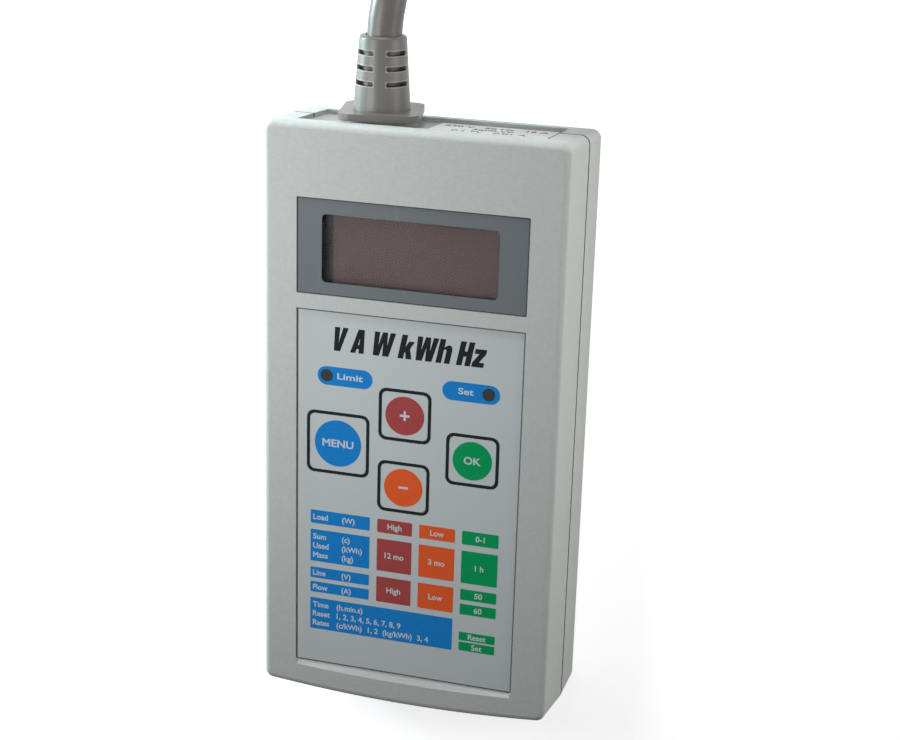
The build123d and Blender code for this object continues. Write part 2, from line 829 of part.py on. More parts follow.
with BuildPart() as microcontroller:
    with BuildSketch(Plane.XY.offset(main_board_bottom)):
        with Locations(on_main_board(microcontroller_shares)):
            Rectangle(microcontroller_side, microcontroller_side)
    extrude(amount=-microcontroller_height)
    chamfer(microcontroller.edges().filter_by(Axis.Z), microcontroller_side * microcontroller_corner_share)
microcontroller.part.label = "microcontroller"
export_step(microcontroller.part, "parts/microcontroller.step")

with BuildPart() as memory_chip:
    with BuildSketch(Plane.XY.offset(main_board_bottom)):
        with Locations(on_main_board(memory_chip_shares)):
            Rectangle(memory_chip_width, memory_chip_length)
    extrude(amount=-memory_chip_height)
    chamfer(memory_chip.faces().sort_by(Axis.Z)[0].edges(), memory_chip_height * chip_edge_share)
memory_chip.part.label = "memory_chip"
export_step(memory_chip.part, "parts/memory_chip.step")

with BuildPart() as crystal:
    with BuildSketch(Plane.XY.offset(main_board_bottom)):
        with Locations(on_main_board(crystal_shares)):
            SlotOverall(crystal_length, crystal_width)
    extrude(amount=-crystal_height)
    fillet(crystal.faces().sort_by(Axis.Z)[0].edges(), crystal_height * chip_edge_share)
crystal.part.label = "crystal"
export_step(crystal.part, "parts/crystal.step")

# Power board and its screws
with BuildPart() as power_board:
    with BuildSketch(Plane.XY.offset(power_board_bottom)):
        with Locations((0, power_board_y)):
            Rectangle(main_board_width, power_board_length)
        with Locations(power_boss_places):
            Circle(board_screw_radius + screw_gap, mode=Mode.SUBTRACT)
    extrude(amount=board_thickness)
power_board.part.label = "power_board"
export_step(power_board.part, "parts/power_board.step")

with BuildPart() as power_board_screws:
    draw_screws(
        power_boss_places,
        power_board_top,
        -1,
        board_screw_radius,
        board_thickness + board_screw_grip,
        board_screw_head_radius,
        board_screw_head_height,
    )
power_board_screws.part.label = "power_board_screws"
export_step(power_board_screws.part, "parts/power_board_screws.step")

# Mains transformer: laminated core with two windows, and the winding round its middle leg
transformer_x, transformer_y = on_power_board(transformer_shares)
with BuildPart() as transformer_core:
    with BuildSketch(Plane.XY.offset(power_board_top)):
        with Locations((transformer_x, transformer_y)):
            Rectangle(core_leg_width * core_legs_across, core_stack)
    extrude(amount=3 * core_leg_width)
    with BuildSketch(Plane.XY.offset(power_board_top + core_leg_width)):
        with Locations(
            (transformer_x - 3 * core_leg_width / 2, transformer_y),
            (transformer_x + 3 * core_leg_width / 2, transformer_y),
        ):
            Rectangle(core_leg_width, core_stack)
    extrude(amount=core_leg_width, mode=Mode.SUBTRACT)
transformer_core.part.label = "transformer_core"
export_step(transformer_core.part, "parts/transformer_core.step")

with BuildPart() as transformer_winding:
    with BuildSketch(Plane.XY.offset(power_board_top + core_leg_width + fit_gap)):
        with Locations((transformer_x, transformer_y)):
            RectangleRounded(
                core_leg_width * 4 - 2 * fit_gap, core_stack + 2 * core_leg_width, core_leg_width / 4
            )
            Rectangle(
                core_leg_width * 2 + 2 * fit_gap, core_stack + 2 * fit_gap, mode=Mode.SUBTRACT
            )
    extrude(amount=core_leg_width - 2 * fit_gap)
transformer_winding.part.label = "transformer_winding"
export_step(transformer_winding.part, "parts/transformer_winding.step")

# Smaller parts on the power board
with BuildPart() as smoothing_capacitors:
    with BuildSketch(Plane.XY.offset(power_board_top)):
        with Locations([on_power_board(shares) for shares in capacitor_shares]):
            Circle(capacitor_radius)
    extrude(amount=capacitor_height)
    fillet(
        smoothing_capacitors.faces().filter_by(Plane.XY).group_by(Axis.Z)[-1].edges(),
        capacitor_radius * capacitor_edge_share,
    )
smoothing_capacitors.part.label = "smoothing_capacitors"
export_step(smoothing_capacitors.part, "parts/smoothing_capacitors.step")

with BuildPart() as rectifier:
    with BuildSketch(Plane.XY.offset(power_board_top)):
        with Locations(on_power_board(rectifier_shares)):
            Rectangle(rectifier_side, rectifier_side)
    extrude(amount=rectifier_height)
    chamfer(rectifier.edges().filter_by(Axis.Z).sort_by(Axis.X)[0], rectifier_side * chip_edge_share)
rectifier.part.label = "rectifier"
export_step(rectifier.part, "parts/rectifier.step")

regulator_x, regulator_y = on_power_board(regulator_shares)
with BuildPart() as regulator:
    with BuildSketch(Plane.XY.offset(power_board_top)):
        with Locations((regulator_x, regulator_y)):
            Rectangle(regulator_width, regulator_depth)
    extrude(amount=regulator_height)
    with BuildSketch(Plane.XY.offset(power_board_top + regulator_height)):
        with Locations((regulator_x, regulator_y + (regulator_depth - regulator_tab) / 2)):
            Rectangle(regulator_width, regulator_tab)
    extrude(amount=regulator_tab_height)
    with BuildSketch(Plane.XZ.offset(-(regulator_y + regulator_depth))):
        with Locations((regulator_x, power_board_top + regulator_height + regulator_tab_height / 2)):
            Circle(regulator_tab)
    extrude(amount=2 * regulator_depth, mode=Mode.SUBTRACT)
regulator.part.label = "regulator"
export_step(regulator.part, "parts/regulator.step")

shunt_x, shunt_y = on_power_board(shunt_shares)
shunt_foot = power_board_top
shunt_top = power_board_top + shunt_height
with BuildPart() as current_shunt:
    with BuildLine() as shunt_path:
        FilletPolyline(
            (shunt_x, shunt_y - shunt_span / 2, shunt_foot),
            (shunt_x, shunt_y - shunt_span / 2, shunt_top),
            (shunt_x, shunt_y + shunt_span / 2, shunt_top),
            (shunt_x, shunt_y + shunt_span / 2, shunt_foot),
            radius=3 * shunt_radius,
        )
    with BuildSketch(Plane(shunt_path.wire() @ 0, z_dir=shunt_path.wire() % 0)):
        Circle(shunt_radius)
    sweep(path=shunt_path.wire())
current_shunt.part.label = "current_shunt"
export_step(current_shunt.part, "parts/current_shunt.step")

sense_x, sense_y = on_power_board(sense_resistor_shares)
with BuildPart() as sense_resistors:
    with BuildSketch(Plane.XZ.offset(-(sense_y - resistor_length / 2))):
        with Locations(
            [
                (sense_x + (index - 1) * 2 * resistor_pitch_radius, power_board_top + resistor_radius)
                for index in range(resistor_count)
            ]
        ):
            Circle(resistor_radius)
    extrude(amount=-resistor_length)
sense_resistors.part.label = "sense_resistors"
export_step(sense_resistors.part, "parts/sense_resistors.step")

varistor_x, varistor_y = on_power_board(varistor_shares)
with BuildPart() as varistor:
    with BuildSketch(Plane.XZ.offset(-varistor_y)):
        with Locations((varistor_x, power_board_top + varistor_radius)):
            Circle(varistor_radius)
    extrude(amount=varistor_thickness / 2, both=True)
    fillet(varistor.edges(), varistor_thickness / 4)
varistor.part.label = "varistor"
export_step(varistor.part, "parts/varistor.step")

# Mains fuse, and the two clips that hold its end caps
fuse_x, fuse_y = on_power_board(fuse_shares)
fuse_z = power_board_top + clip_base + fuse_radius
fuse_clip_offset = fuse_length / 2 - clip_length / 2
with BuildPart() as fuse:
    with BuildSketch(Plane.XZ.offset(-(fuse_y - fuse_length / 2))):
        with Locations((fuse_x, fuse_z)):
            Circle(fuse_radius)
    extrude(amount=-fuse_length)
fuse.part.label = "fuse"
export_step(fuse.part, "parts/fuse.step")

with BuildPart() as fuse_clips:
    for side in (-1, 1):
        clip_start = fuse_y + side * fuse_clip_offset - clip_length / 2
        with BuildSketch(Plane.XZ.offset(-clip_start)):
            with Locations((fuse_x, power_board_top + (fuse_radius + clip_base) / 2)):
                Rectangle(2 * (fuse_radius + clip_wall), fuse_radius + clip_base)
            with Locations((fuse_x, fuse_z)):
                Circle(fuse_radius + screw_gap, mode=Mode.SUBTRACT)
        extrude(amount=-clip_length)
fuse_clips.part.label = "fuse_clips"
export_step(fuse_clips.part, "parts/fuse_clips.step")

with BuildPart() as measuring_chip:
    with BuildSketch(Plane.XY.offset(power_board_top)):
        with Locations(on_power_board(measuring_chip_shares)):
            Rectangle(memory_chip_length, 2 * memory_chip_length)
    extrude(amount=memory_chip_height)
    chamfer(measuring_chip.faces().sort_by(Axis.Z)[-1].edges(), memory_chip_height * chip_edge_share)
measuring_chip.part.label = "measuring_chip"
export_step(measuring_chip.part, "parts/measuring_chip.step")

# Terminal block for the five cores, and its clamping screws
block_x, block_y = on_power_board(terminal_block_shares)
terminal_places = [
    block_x + (index - (core_count - 1) / 2) * terminal_pitch for index in range(core_count)
]
terminal_z = power_board_top + terminal_height / 2
with BuildPart() as terminal_block:
    with BuildSketch(Plane.XY.offset(power_board_top)):
        with Locations((block_x, block_y)):
            Rectangle(core_count * terminal_pitch, terminal_depth)
    extrude(amount=terminal_height)
    with BuildSketch(Plane.XZ.offset(-(block_y + terminal_depth / 2))):
        with Locations([(place, terminal_z) for place in terminal_places]):
            Circle(core_radius + screw_gap)
    extrude(amount=terminal_depth / 2, mode=Mode.SUBTRACT)
    with BuildSketch(Plane.XY.offset(power_board_top + terminal_height)):
        with Locations([(place, block_y) for place in terminal_places]):
            Circle(terminal_screw_radius + screw_gap)
    extrude(amount=-terminal_screw_depth, mode=Mode.SUBTRACT)
terminal_block.part.label = "terminal_block"
export_step(terminal_block.part, "parts/terminal_block.step")

with BuildPart() as terminal_screws:
    with BuildSketch(Plane.XY.offset(power_board_top + terminal_height - terminal_screw_depth)):
        with Locations([(place, block_y) for place in terminal_places]):
            Circle(terminal_screw_radius)
    extrude(amount=terminal_screw_depth - drive_depth)
    with BuildSketch(Plane.XY.offset(power_board_top + terminal_height - drive_depth)):
        with Locations([(place, block_y) for place in terminal_places]):
            Rectangle(2 * terminal_screw_radius, terminal_screw_radius / 2)
    extrude(amount=-drive_depth, mode=Mode.SUBTRACT)
terminal_screws.part.label = "terminal_screws"
export_step(terminal_screws.part, "parts/terminal_screws.step")

# Ribbon cable between the two boards, and a header at each end
link_x, link_power_y = on_power_board(link_shares)
link_main_y = link_power_y - link_offset
with BuildPart() as power_header:
    with BuildSketch(Plane.XY.offset(power_board_top)):
        with Locations((link_x, link_power_y)):
            Rectangle(link_width + 2 * link_wall, link_depth)
    extrude(amount=link_height)
power_header.part.label = "power_header"
export_step(power_header.part, "parts/power_header.step")

with BuildPart() as main_header:
    with BuildSketch(Plane.XY.offset(main_board_bottom)):
        with Locations((link_x, link_main_y)):
            Rectangle(link_width + 2 * link_wall, link_depth)
    extrude(amount=-link_height)
main_header.part.label = "main_header"
export_step(main_header.part, "parts/main_header.step")

link_low = power_board_top + link_height
link_high = main_board_bottom - link_height
link_step = (link_high - link_low) / 4
with BuildPart() as ribbon_cable:
    with BuildSketch(Plane.YZ.offset(link_x - link_width / 2)):
        with BuildLine():
            Polyline(
                (link_power_y, link_low),
                (link_power_y, link_low + link_step),
                (link_main_y, link_high - link_step),
                (link_main_y, link_high),
                (link_main_y - link_thickness, link_high),
                (link_main_y - link_thickness, link_high - link_step - link_thickness / 4),
                (link_power_y - link_thickness, link_low + link_step - link_thickness / 4),
                (link_power_y - link_thickness, link_low),
                close=True,
            )
        make_face()
    extrude(amount=link_width)
ribbon_cable.part.label = "ribbon_cable"
export_step(ribbon_cable.part, "parts/ribbon_cable.step")

# Cord sheath inside the case, its clamp, and the five cores
with BuildPart() as cord_sheath_end:
    with BuildSketch(sheath_plane):
        Circle(cord_radius - screw_gap)
    extrude(amount=relief_seat_y - sheath_end_y)
cord_sheath_end.part.label = "cord_sheath_end"
export_step(cord_sheath_end.part, "parts/cord_sheath_end.step")

with BuildPart() as cord_clamp:
    with BuildSketch(Plane.XZ.offset(-(clamp_y - clamp_width / 2))):
        with Locations((relief_x, clamp_seat_z + clamp_ear_thickness / 2)):
            Rectangle(2 * clamp_half_width, clamp_ear_thickness)
        with Locations((relief_x, relief_z)):
            Circle(cord_radius + clamp_arch_thickness)
        with Locations((relief_x, relief_z)):
            Circle(cord_radius, mode=Mode.SUBTRACT)
        with Locations((relief_x, clamp_seat_z - 2 * cord_radius)):
            Rectangle(2 * clamp_half_width, 4 * cord_radius, mode=Mode.SUBTRACT)
    extrude(amount=-clamp_width)
    with BuildSketch(Plane.XY.offset(clamp_seat_z)):
        with Locations(clamp_screw_places):
            Circle(board_screw_radius + screw_gap)
    extrude(amount=clamp_ear_thickness + cut_overrun, mode=Mode.SUBTRACT)
cord_clamp.part.label = "cord_clamp"
export_step(cord_clamp.part, "parts/cord_clamp.step")

with BuildPart() as clamp_screws:
    draw_screws(
        clamp_screw_places,
        clamp_seat_z + clamp_ear_thickness,
        -1,
        board_screw_radius,
        clamp_ear_thickness + board_screw_grip,
        board_screw_head_radius,
        board_screw_head_height,
    )
clamp_screws.part.label = "clamp_screws"
export_step(clamp_screws.part, "parts/clamp_screws.step")

core_entry_y = block_y + core_end_gap
core_free_length = sheath_end_y - (block_y + terminal_depth / 2)
with BuildPart() as cord_cores:
    for index, place in zip(core_order, terminal_places):
        turn = 2 * pi * index / core_count + pi
        start_x = relief_x + core_ring_radius * cos(turn)
        start_z = relief_z + core_ring_radius * sin(turn)
        with BuildLine() as core_path:
            FilletPolyline(
                (start_x, sheath_end_y, start_z),
                (start_x, sheath_end_y - core_free_length / 4, start_z),
                (place, sheath_end_y - 3 * core_free_length / 4, terminal_z),
                (place, core_entry_y, terminal_z),
                radius=core_bend_radius,
            )
        with BuildSketch(Plane(core_path.wire() @ 0, z_dir=core_path.wire() % 0)):
            Circle(core_radius)
        sweep(path=core_path.wire())
cord_cores.part.label = "cord_cores"
export_step(cord_cores.part, "parts/cord_cores.step")

# Strain relief: square flange, slotted taper, and a shank that a clip holds behind the end panel
with BuildPart() as relief_slots:
    for place in relief_slot_places:
        with BuildSketch(relief_plane.offset(flange_thickness + place - relief_slot_height / 2)):
            Circle(relief_base_radius + cut_overrun)
            Circle(cord_radius + relief_sleeve, mode=Mode.SUBTRACT)
            Rectangle(relief_rib_width, 4 * relief_base_radius, mode=Mode.SUBTRACT)
            Rectangle(4 * relief_base_radius, relief_rib_width, mode=Mode.SUBTRACT)
        extrude(amount=relief_slot_height)
    slot_ends = relief_slots.edges().filter_by(GeomType.LINE).filter_by(Axis.Y, reverse=True)
    fillet(slot_ends, relief_slot_end_radius)

with BuildPart() as strain_relief:
    with BuildSketch(relief_plane):
        RectangleRounded(flange_width, flange_height, flange_corner_radius)
    extrude(amount=flange_thickness)
    with BuildSketch(relief_plane.offset(flange_thickness)):
        Circle(relief_base_radius)
    with BuildSketch(relief_plane.offset(relief_end)):
        Circle(relief_tip_radius)
    loft()
    fillet(strain_relief.faces().sort_by(Axis.Y)[-1].edges(), relief_rim_radius)
    with BuildSketch(relief_plane):
        Circle(shank_radius)
    extrude(amount=-(collar_depth + clip_thickness + shank_end_lip))
    with BuildSketch(relief_plane.offset(-collar_depth)):
        Circle(shank_radius)
        Circle(shank_radius - clip_groove, mode=Mode.SUBTRACT)
    extrude(amount=-clip_thickness, mode=Mode.SUBTRACT)
    add(relief_slots.part, mode=Mode.SUBTRACT)
    with BuildSketch(relief_plane.offset(relief_end + cut_overrun)):
        Circle(cord_radius)
    extrude(
        amount=-(relief_end + collar_depth + clip_thickness + shank_end_lip + 2 * cut_overrun),
        mode=Mode.SUBTRACT,
    )
strain_relief.part.label = "strain_relief"
export_step(strain_relief.part, "parts/strain_relief.step")

with BuildPart() as relief_clip:
    with BuildSketch(relief_plane.offset(-collar_depth)):
        Circle(clip_radius)
        Circle(shank_radius - clip_groove + screw_gap, mode=Mode.SUBTRACT)
        with Locations((0, -clip_radius)):
            Rectangle(clip_opening, 2 * clip_radius, mode=Mode.SUBTRACT)
    extrude(amount=-(clip_thickness - screw_gap))
relief_clip.part.label = "relief_clip"
export_step(relief_clip.part, "parts/relief_clip.step")


def unit(vector):
    """Vector of length one along another."""
    return vector / vector.length


def bend_radii(points):
    """Radius of each arc of a route: as large as its two runs allow."""
    radii = []
    for before, here, after in zip(points, points[1:], points[2:]):
        arrive, leave = Vector(here) - Vector(before), Vector(after) - Vector(here)
        half_turn = radians(arrive.get_angle(leave)) / 2
        radii.append(bend_run_share * min(arrive.length, leave.length) / tan(half_turn))
    return radii


# Cord from the end panel to the coil: straight runs joined by tangent arcs
cord_radii = bend_radii(cord_route)
print("cord bend radii", [round(radius, 1) for radius in cord_radii])
with BuildPart() as cord_stretch:
    with BuildLine() as stretch_path:
        FilletPolyline(*cord_route, radius=cord_radii)
    with BuildSketch(Plane(stretch_path.wire() @ 0, z_dir=stretch_path.wire() % 0)):
        Circle(cord_radius)
    sweep(path=stretch_path.wire())
cord_section = pi * cord_radius**2
print(
    "cord stretch length", round(stretch_path.wire().length, 1),
    "volume share", round(cord_stretch.part.volume / cord_section / stretch_path.wire().length, 4),
)
cord_stretch.part.label = "cord_stretch"
export_step(cord_stretch.part, "parts/cord_stretch.step")

# Coil: the cord winds in over one layer, out over the next, and its tail climbs to the plug
coil_start = Vector(*cord_route[-1])
coil_outer = coil_radius + coil_pitch * coil_layer_turns / 2
coil_inner = coil_outer - coil_pitch * coil_layer_turns
coil_wound = 2 * coil_layer_turns
coil_turns = coil_wound + coil_tail_turns
coil_straight = 2 * cord_radius
coil_centre = coil_start + Vector(coil_outer, coil_straight, 0)
coil_tail_climb = cord_radius + tie_gap + plug_head_radius


def coil_point(turn):
    """Middle of the cord after so many turns of the coil."""
    tail = max(turn - coil_wound, 0) / coil_tail_turns
    if tail == 0:
        radius = coil_inner + coil_pitch * abs(turn - coil_layer_turns)
    elif tail < 1 / 2:
        radius = coil_outer + coil_tail_bulge * (1 - cos(2 * pi * tail)) / 2
    else:
        swing = coil_outer + coil_tail_bulge - coil_tail_radius
        radius = coil_tail_radius + swing * (1 - cos(2 * pi * tail)) / 2
    layer = min(max(2 * (turn - coil_layer_turns) + 1 / 2, 0), 1)
    climb = coil_layer_step * (1 - cos(pi * layer)) / 2
    climb += coil_tail_climb * (1 - cos(pi * tail)) / 2
    angle = pi - 2 * pi * turn
    return coil_centre + Vector(radius * cos(angle), radius * sin(angle), climb)


def coil_heading(turn):
    """Way that the cord points after so many turns of the coil."""
    if turn == 0 or turn == coil_turns:
        return Vector(0, 1, 0)
    step = 1 / (10 * coil_stations_per_turn)
    return unit(coil_point(turn + step) - coil_point(turn - step))


def biarc_joint(start, start_way, end, end_way):
    """Point where two equal-handled tangent arcs meet, and the way that they point there."""
    chord = end - start
    ways = start_way + end_way
    slack = 1 - start_way.dot(end_way)
    along = chord.dot(ways)
    handle = (sqrt(along**2 + 2 * slack * chord.dot(chord)) - along) / (2 * slack)
    joint = (start + end + (start_way - end_way) * handle) / 2
    return joint, unit(end - end_way * handle - start - start_way * handle)


with BuildPart() as cord_coil:
    with BuildLine() as coil_path:
        Line(coil_start, coil_point(0))
        stations = round(coil_turns * coil_stations_per_turn)
        for station in range(stations):
            turn, next_turn = station / coil_stations_per_turn, (station + 1) / coil_stations_per_turn
            here, there = coil_point(turn), coil_point(next_turn)
            way = coil_heading(turn)
            joint, joint_way = biarc_joint(here, way, there, coil_heading(next_turn))
            TangentArc(here, joint, tangent=way)
            TangentArc(joint, there, tangent=joint_way)
        Line(coil_point(coil_turns), coil_point(coil_turns) + Vector(0, coil_straight, 0))
    with BuildSketch(Plane(coil_start, x_dir=(1, 0, 0), z_dir=(0, 1, 0))):
        Circle(cord_radius)
    sweep(path=coil_path.wire())
coil_length = coil_path.wire().length
print(
    "cord coil length", round(coil_length, 1),
    "volume share", round(cord_coil.part.volume / cord_section / coil_length, 4),
)
samples = round(coil_length / (cord_radius / 2))
coil_points = [coil_path.wire() @ (index / samples) for index in range(samples + 1)]
apart = round(coil_gap_reach * cord_radius / (coil_length / samples))
least_gap = min(
    (coil_points[far] - coil_points[near]).length
    for near in range(samples)
    for far in range(near + apart, samples + 1)
) - 2 * cord_radius
print("coil least gap to itself", round(least_gap, 2), "wanted over", coil_least_gap)
cord_coil.part.label = "cord_coil"
export_step(cord_coil.part, "parts/cord_coil.step")

# Tie round the turns of the coil, on its far side
tie_inner_y = coil_centre.Y + coil_inner - cord_radius - tie_side_gap
tie_outer_y = coil_centre.Y + coil_outer - coil_pitch / 4 + cord_radius + tie_side_gap
tie_low_z = coil_start.Z - cord_radius - tie_gap
tie_high_z = coil_start.Z + coil_layer_step + cord_radius + tie_gap
tie_middle = ((tie_inner_y + tie_outer_y) / 2, (tie_low_z + tie_high_z) / 2)
with BuildPart() as cord_tie:
    with BuildSketch(Plane.YZ.offset(coil_centre.X - tie_width / 2)):
        with Locations(tie_middle):
            RectangleRounded(
                tie_outer_y - tie_inner_y + 2 * tie_thickness,
                tie_high_z - tie_low_z + 2 * tie_thickness,
                tie_corner_radius,
            )
            RectangleRounded(
                tie_outer_y - tie_inner_y,
                tie_high_z - tie_low_z,
                tie_corner_radius - tie_thickness,
                mode=Mode.SUBTRACT,
            )
    extrude(amount=tie_width)
cord_tie.part.label = "cord_tie"
export_step(cord_tie.part, "parts/cord_tie.step")

# Pass-through plug: pins on its face, sockets in its back, the cord into its edge
plug_entry = coil_point(coil_turns) + Vector(0, coil_straight, 0)
plug_head = Plane(
    origin=plug_entry + Vector(0, plug_neck_length + plug_head_radius, 0),
    x_dir=(0, 1, 0),
    z_dir=(1, 0, 0),
)
pin_places = [
    (pin_side_drop, pin_side, pin_side_turn),
    (pin_side_drop, -pin_side, -pin_side_turn),
    (-pin_earth_drop, 0, 0),
]
with BuildPart() as plug_body:
    with BuildSketch(plug_head.offset(-plug_back_inset)):
        Circle(plug_head_radius)
    extrude(amount=plug_back_inset + plug_face_inset)
    fillet(plug_body.edges().filter_by(GeomType.CIRCLE), plug_edge_radius)
    with BuildSketch(Plane(plug_entry, x_dir=(1, 0, 0), z_dir=(0, 1, 0))):
        Circle(plug_neck_radius)
    with BuildSketch(Plane(plug_head.origin, x_dir=(1, 0, 0), z_dir=(0, 1, 0))):
        Circle(plug_neck_base_radius)
    loft()
    for pin_x, pin_y, pin_turn in pin_places:
        with BuildSketch(plug_head.offset(plug_face_inset)):
            with Locations((pin_x, pin_y)):
                Rectangle(pin_width, pin_thickness, rotation=pin_turn)
        extrude(amount=-pin_seat, mode=Mode.SUBTRACT)
        with BuildSketch(plug_head.offset(-plug_back_inset)):
            with Locations((pin_x, pin_y)):
                Rectangle(
                    pin_width + socket_clearance, pin_thickness + socket_clearance, rotation=pin_turn
                )
        extrude(amount=socket_depth, mode=Mode.SUBTRACT)
        with BuildSketch(plug_head.offset(-plug_back_inset + socket_depth)):
            with Locations((pin_x, pin_y)):
                Rectangle(
                    pin_width + 2 * contact_thickness + socket_clearance,
                    pin_thickness + 2 * contact_thickness + socket_clearance,
                    rotation=pin_turn,
                )
        extrude(amount=-contact_depth, mode=Mode.SUBTRACT)
plug_body.part.label = "plug_body"
export_step(plug_body.part, "parts/plug_body.step")

with BuildPart() as plug_pins:
    for pin_x, pin_y, pin_turn in pin_places:
        with BuildSketch(plug_head.offset(plug_face_inset - pin_seat)):
            with Locations((pin_x, pin_y)):
                Rectangle(pin_width, pin_thickness, rotation=pin_turn)
        extrude(amount=pin_seat + pin_length)
    chamfer(
        plug_pins.faces().filter_by(Axis.X).group_by(Axis.X)[-1].edges(), pin_thickness / 4
    )
plug_pins.part.label = "plug_pins"
export_step(plug_pins.part, "parts/plug_pins.step")

with BuildPart() as socket_contacts:
    for pin_x, pin_y, pin_turn in pin_places:
        with BuildSketch(plug_head.offset(-plug_back_inset + socket_depth)):
            with Locations((pin_x, pin_y)):
                Rectangle(
                    pin_width + 2 * contact_thickness + socket_clearance,
                    pin_thickness + 2 * contact_thickness + socket_clearance,
                    rotation=pin_turn,
                )
                Rectangle(
                    pin_width + socket_clearance,
                    pin_thickness + socket_clearance,
                    rotation=pin_turn,
                    mode=Mode.SUBTRACT,
                )
        extrude(amount=-contact_depth)
socket_contacts.part.label = "socket_contacts"
export_step(socket_contacts.part, "parts/socket_contacts.step")
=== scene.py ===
"""Dress the hand-held mains energy monitor: its finishes, print, cord, floor, lights and camera."""

from __future__ import annotations

import logging
from dataclasses import dataclass
from enum import Enum
from functools import cache
from math import cos, pi, radians, sin
from typing import ClassVar

import bmesh
import bpy
from mathutils import Matrix, Vector


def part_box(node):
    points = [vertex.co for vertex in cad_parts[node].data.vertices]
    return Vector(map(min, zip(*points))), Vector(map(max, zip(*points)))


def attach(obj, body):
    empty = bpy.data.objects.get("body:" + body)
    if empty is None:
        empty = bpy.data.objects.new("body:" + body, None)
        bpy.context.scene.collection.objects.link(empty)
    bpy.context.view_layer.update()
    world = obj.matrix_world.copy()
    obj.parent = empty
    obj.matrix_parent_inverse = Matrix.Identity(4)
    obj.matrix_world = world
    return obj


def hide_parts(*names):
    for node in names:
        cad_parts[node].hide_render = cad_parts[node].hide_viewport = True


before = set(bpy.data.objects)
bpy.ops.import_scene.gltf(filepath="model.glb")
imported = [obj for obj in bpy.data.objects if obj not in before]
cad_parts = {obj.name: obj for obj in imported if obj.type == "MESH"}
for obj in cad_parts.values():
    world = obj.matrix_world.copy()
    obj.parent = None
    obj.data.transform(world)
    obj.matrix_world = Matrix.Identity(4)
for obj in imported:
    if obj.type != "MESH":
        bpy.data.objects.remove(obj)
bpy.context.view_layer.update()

logger = logging.getLogger("energy_monitor")

MM = 0.001
Levels = tuple[int, int, int]
Colour = tuple[float, float, float, float]
Point = tuple[float, float, float]
Span = tuple[float, float]
Socket = bpy.types.NodeSocket
Outputs = bpy.types.NodeOutputs
Tree = bpy.types.NodeTree
BMesh = bmesh.types.BMesh
WHITE: Colour = (1.0, 1.0, 1.0, 1.0)

# Keeps the two arcs of a fully round end from meeting in one point
HAIR = 0.001 * MM


def linear(levels: Levels) -> Colour:
    """Turn a screen colour of 0 to 255 into the shader's linear values, opaque."""
    channels = [level / 255 for level in levels]
    return (*(c / 12.92 if c <= 0.04045 else ((c + 0.055) / 1.055) ** 2.4 for c in channels), 1.0)


class Body(str, Enum):
    """Bodies of the frame that pieces ride on."""

    CASE = "case"
    MODE = "mode_key"
    PLUS = "plus_key"
    MINUS = "minus_key"
    ENTER = "enter_key"


class Align(Enum):
    """Share of a word's width that lies before its anchor."""

    LEFT = 0.0
    CENTRE = 0.5


class Sheet:
    """Node tree with short calls for adding nodes and joining their sockets."""

    def __init__(self, tree: Tree) -> None:
        """Take the tree that the nodes go into."""
        self.tree = tree

    def fill(self, node: bpy.types.Node, inputs: dict[str | int, object]) -> None:
        """Set a node's inputs, or link those that are given an output.

        Args:
            node: The node.
            inputs: Values or output sockets, by the input's name or index.
        """
        for name, value in inputs.items():
            if isinstance(value, Socket):
                self.tree.links.new(value, node.inputs[name])
            else:
                node.inputs[name].default_value = value

    def add(self, kind: str, inputs: dict[str | int, object] | None = None,
            **settings: object) -> bpy.types.Node:
        """Add a node, set its properties and fill its inputs.

        Args:
            kind: Node type, without the ShaderNode prefix.
            inputs: Values or output sockets, by the input's name or index.
            **settings: Properties of the node.

        Returns:
            The new node.
        """
        node = self.tree.nodes.new("ShaderNode" + kind)
        for name, value in settings.items():
            setattr(node, name, value)
        self.fill(node, inputs or {})
        return node

    def place(self, group: Tree, inputs: dict[str, object]) -> Outputs:
        """Add a node group with its own values, and give its outputs."""
        return self.add("Group", inputs, node_tree=group).outputs

    def here(self) -> Socket:
        """Give the place on the surface, in the object's own coordinates."""
        return self.add("TexCoord").outputs["Object"]

    def split(self, vector: Socket) -> Outputs:
        """Take a vector apart into X, Y and Z."""
        return self.add("SeparateXYZ", {0: vector}).outputs

    def math(self, operation: str, *values: float | Socket, **settings: object) -> Socket:
        """Work out a number from the node's values in their order."""
        return self.add("Math", dict(enumerate(values)), operation=operation, **settings).outputs[0]

    def vector(self, operation: str, *values: Point | Socket) -> Socket:
        """Work out a vector, or its length, from the node's values in their order."""
        outputs = self.add("VectorMath", dict(enumerate(values)), operation=operation).outputs
        return outputs["Value" if operation == "LENGTH" else "Vector"]

    def ramp(self, value: Socket, start: float | Socket, end: float | Socket, low: float = 0.0,
             high: float = 1.0) -> Socket:
        """Run from low to high while a value goes from start to end."""
        inputs = {"Value": value, "From Min": start, "From Max": end, "To Min": low, "To Max": high}
        return self.add("MapRange", inputs).outputs[0]

    def noise(self, place: Socket, scale: float | Socket, detail: float, roughness: float = 0.5) -> Socket:
        """Sample soft noise at a place."""
        inputs = {"Vector": place, "Scale": scale, "Detail": detail, "Roughness": roughness}
        return self.add("TexNoise", inputs).outputs["Fac"]

    def blend(self, share: Socket, first: Colour | Socket, second: Colour | Socket) -> Socket:
        """Mix two colours: the first where the share is 0, the second where it is 1."""
        return self.add("Mix", {0: share, 6: first, 7: second}, data_type="RGBA").outputs[2]


def start_material(name: str) -> tuple[bpy.types.Material, Sheet, bpy.types.Node]:
    """Make a material with a node tree.

    Args:
        name: Name of the material.

    Returns:
        The material, its sheet and its shader.
    """
    material = bpy.data.materials.new(name)
    material.use_nodes = True
    return material, Sheet(material.node_tree), material.node_tree.nodes["Principled BSDF"]


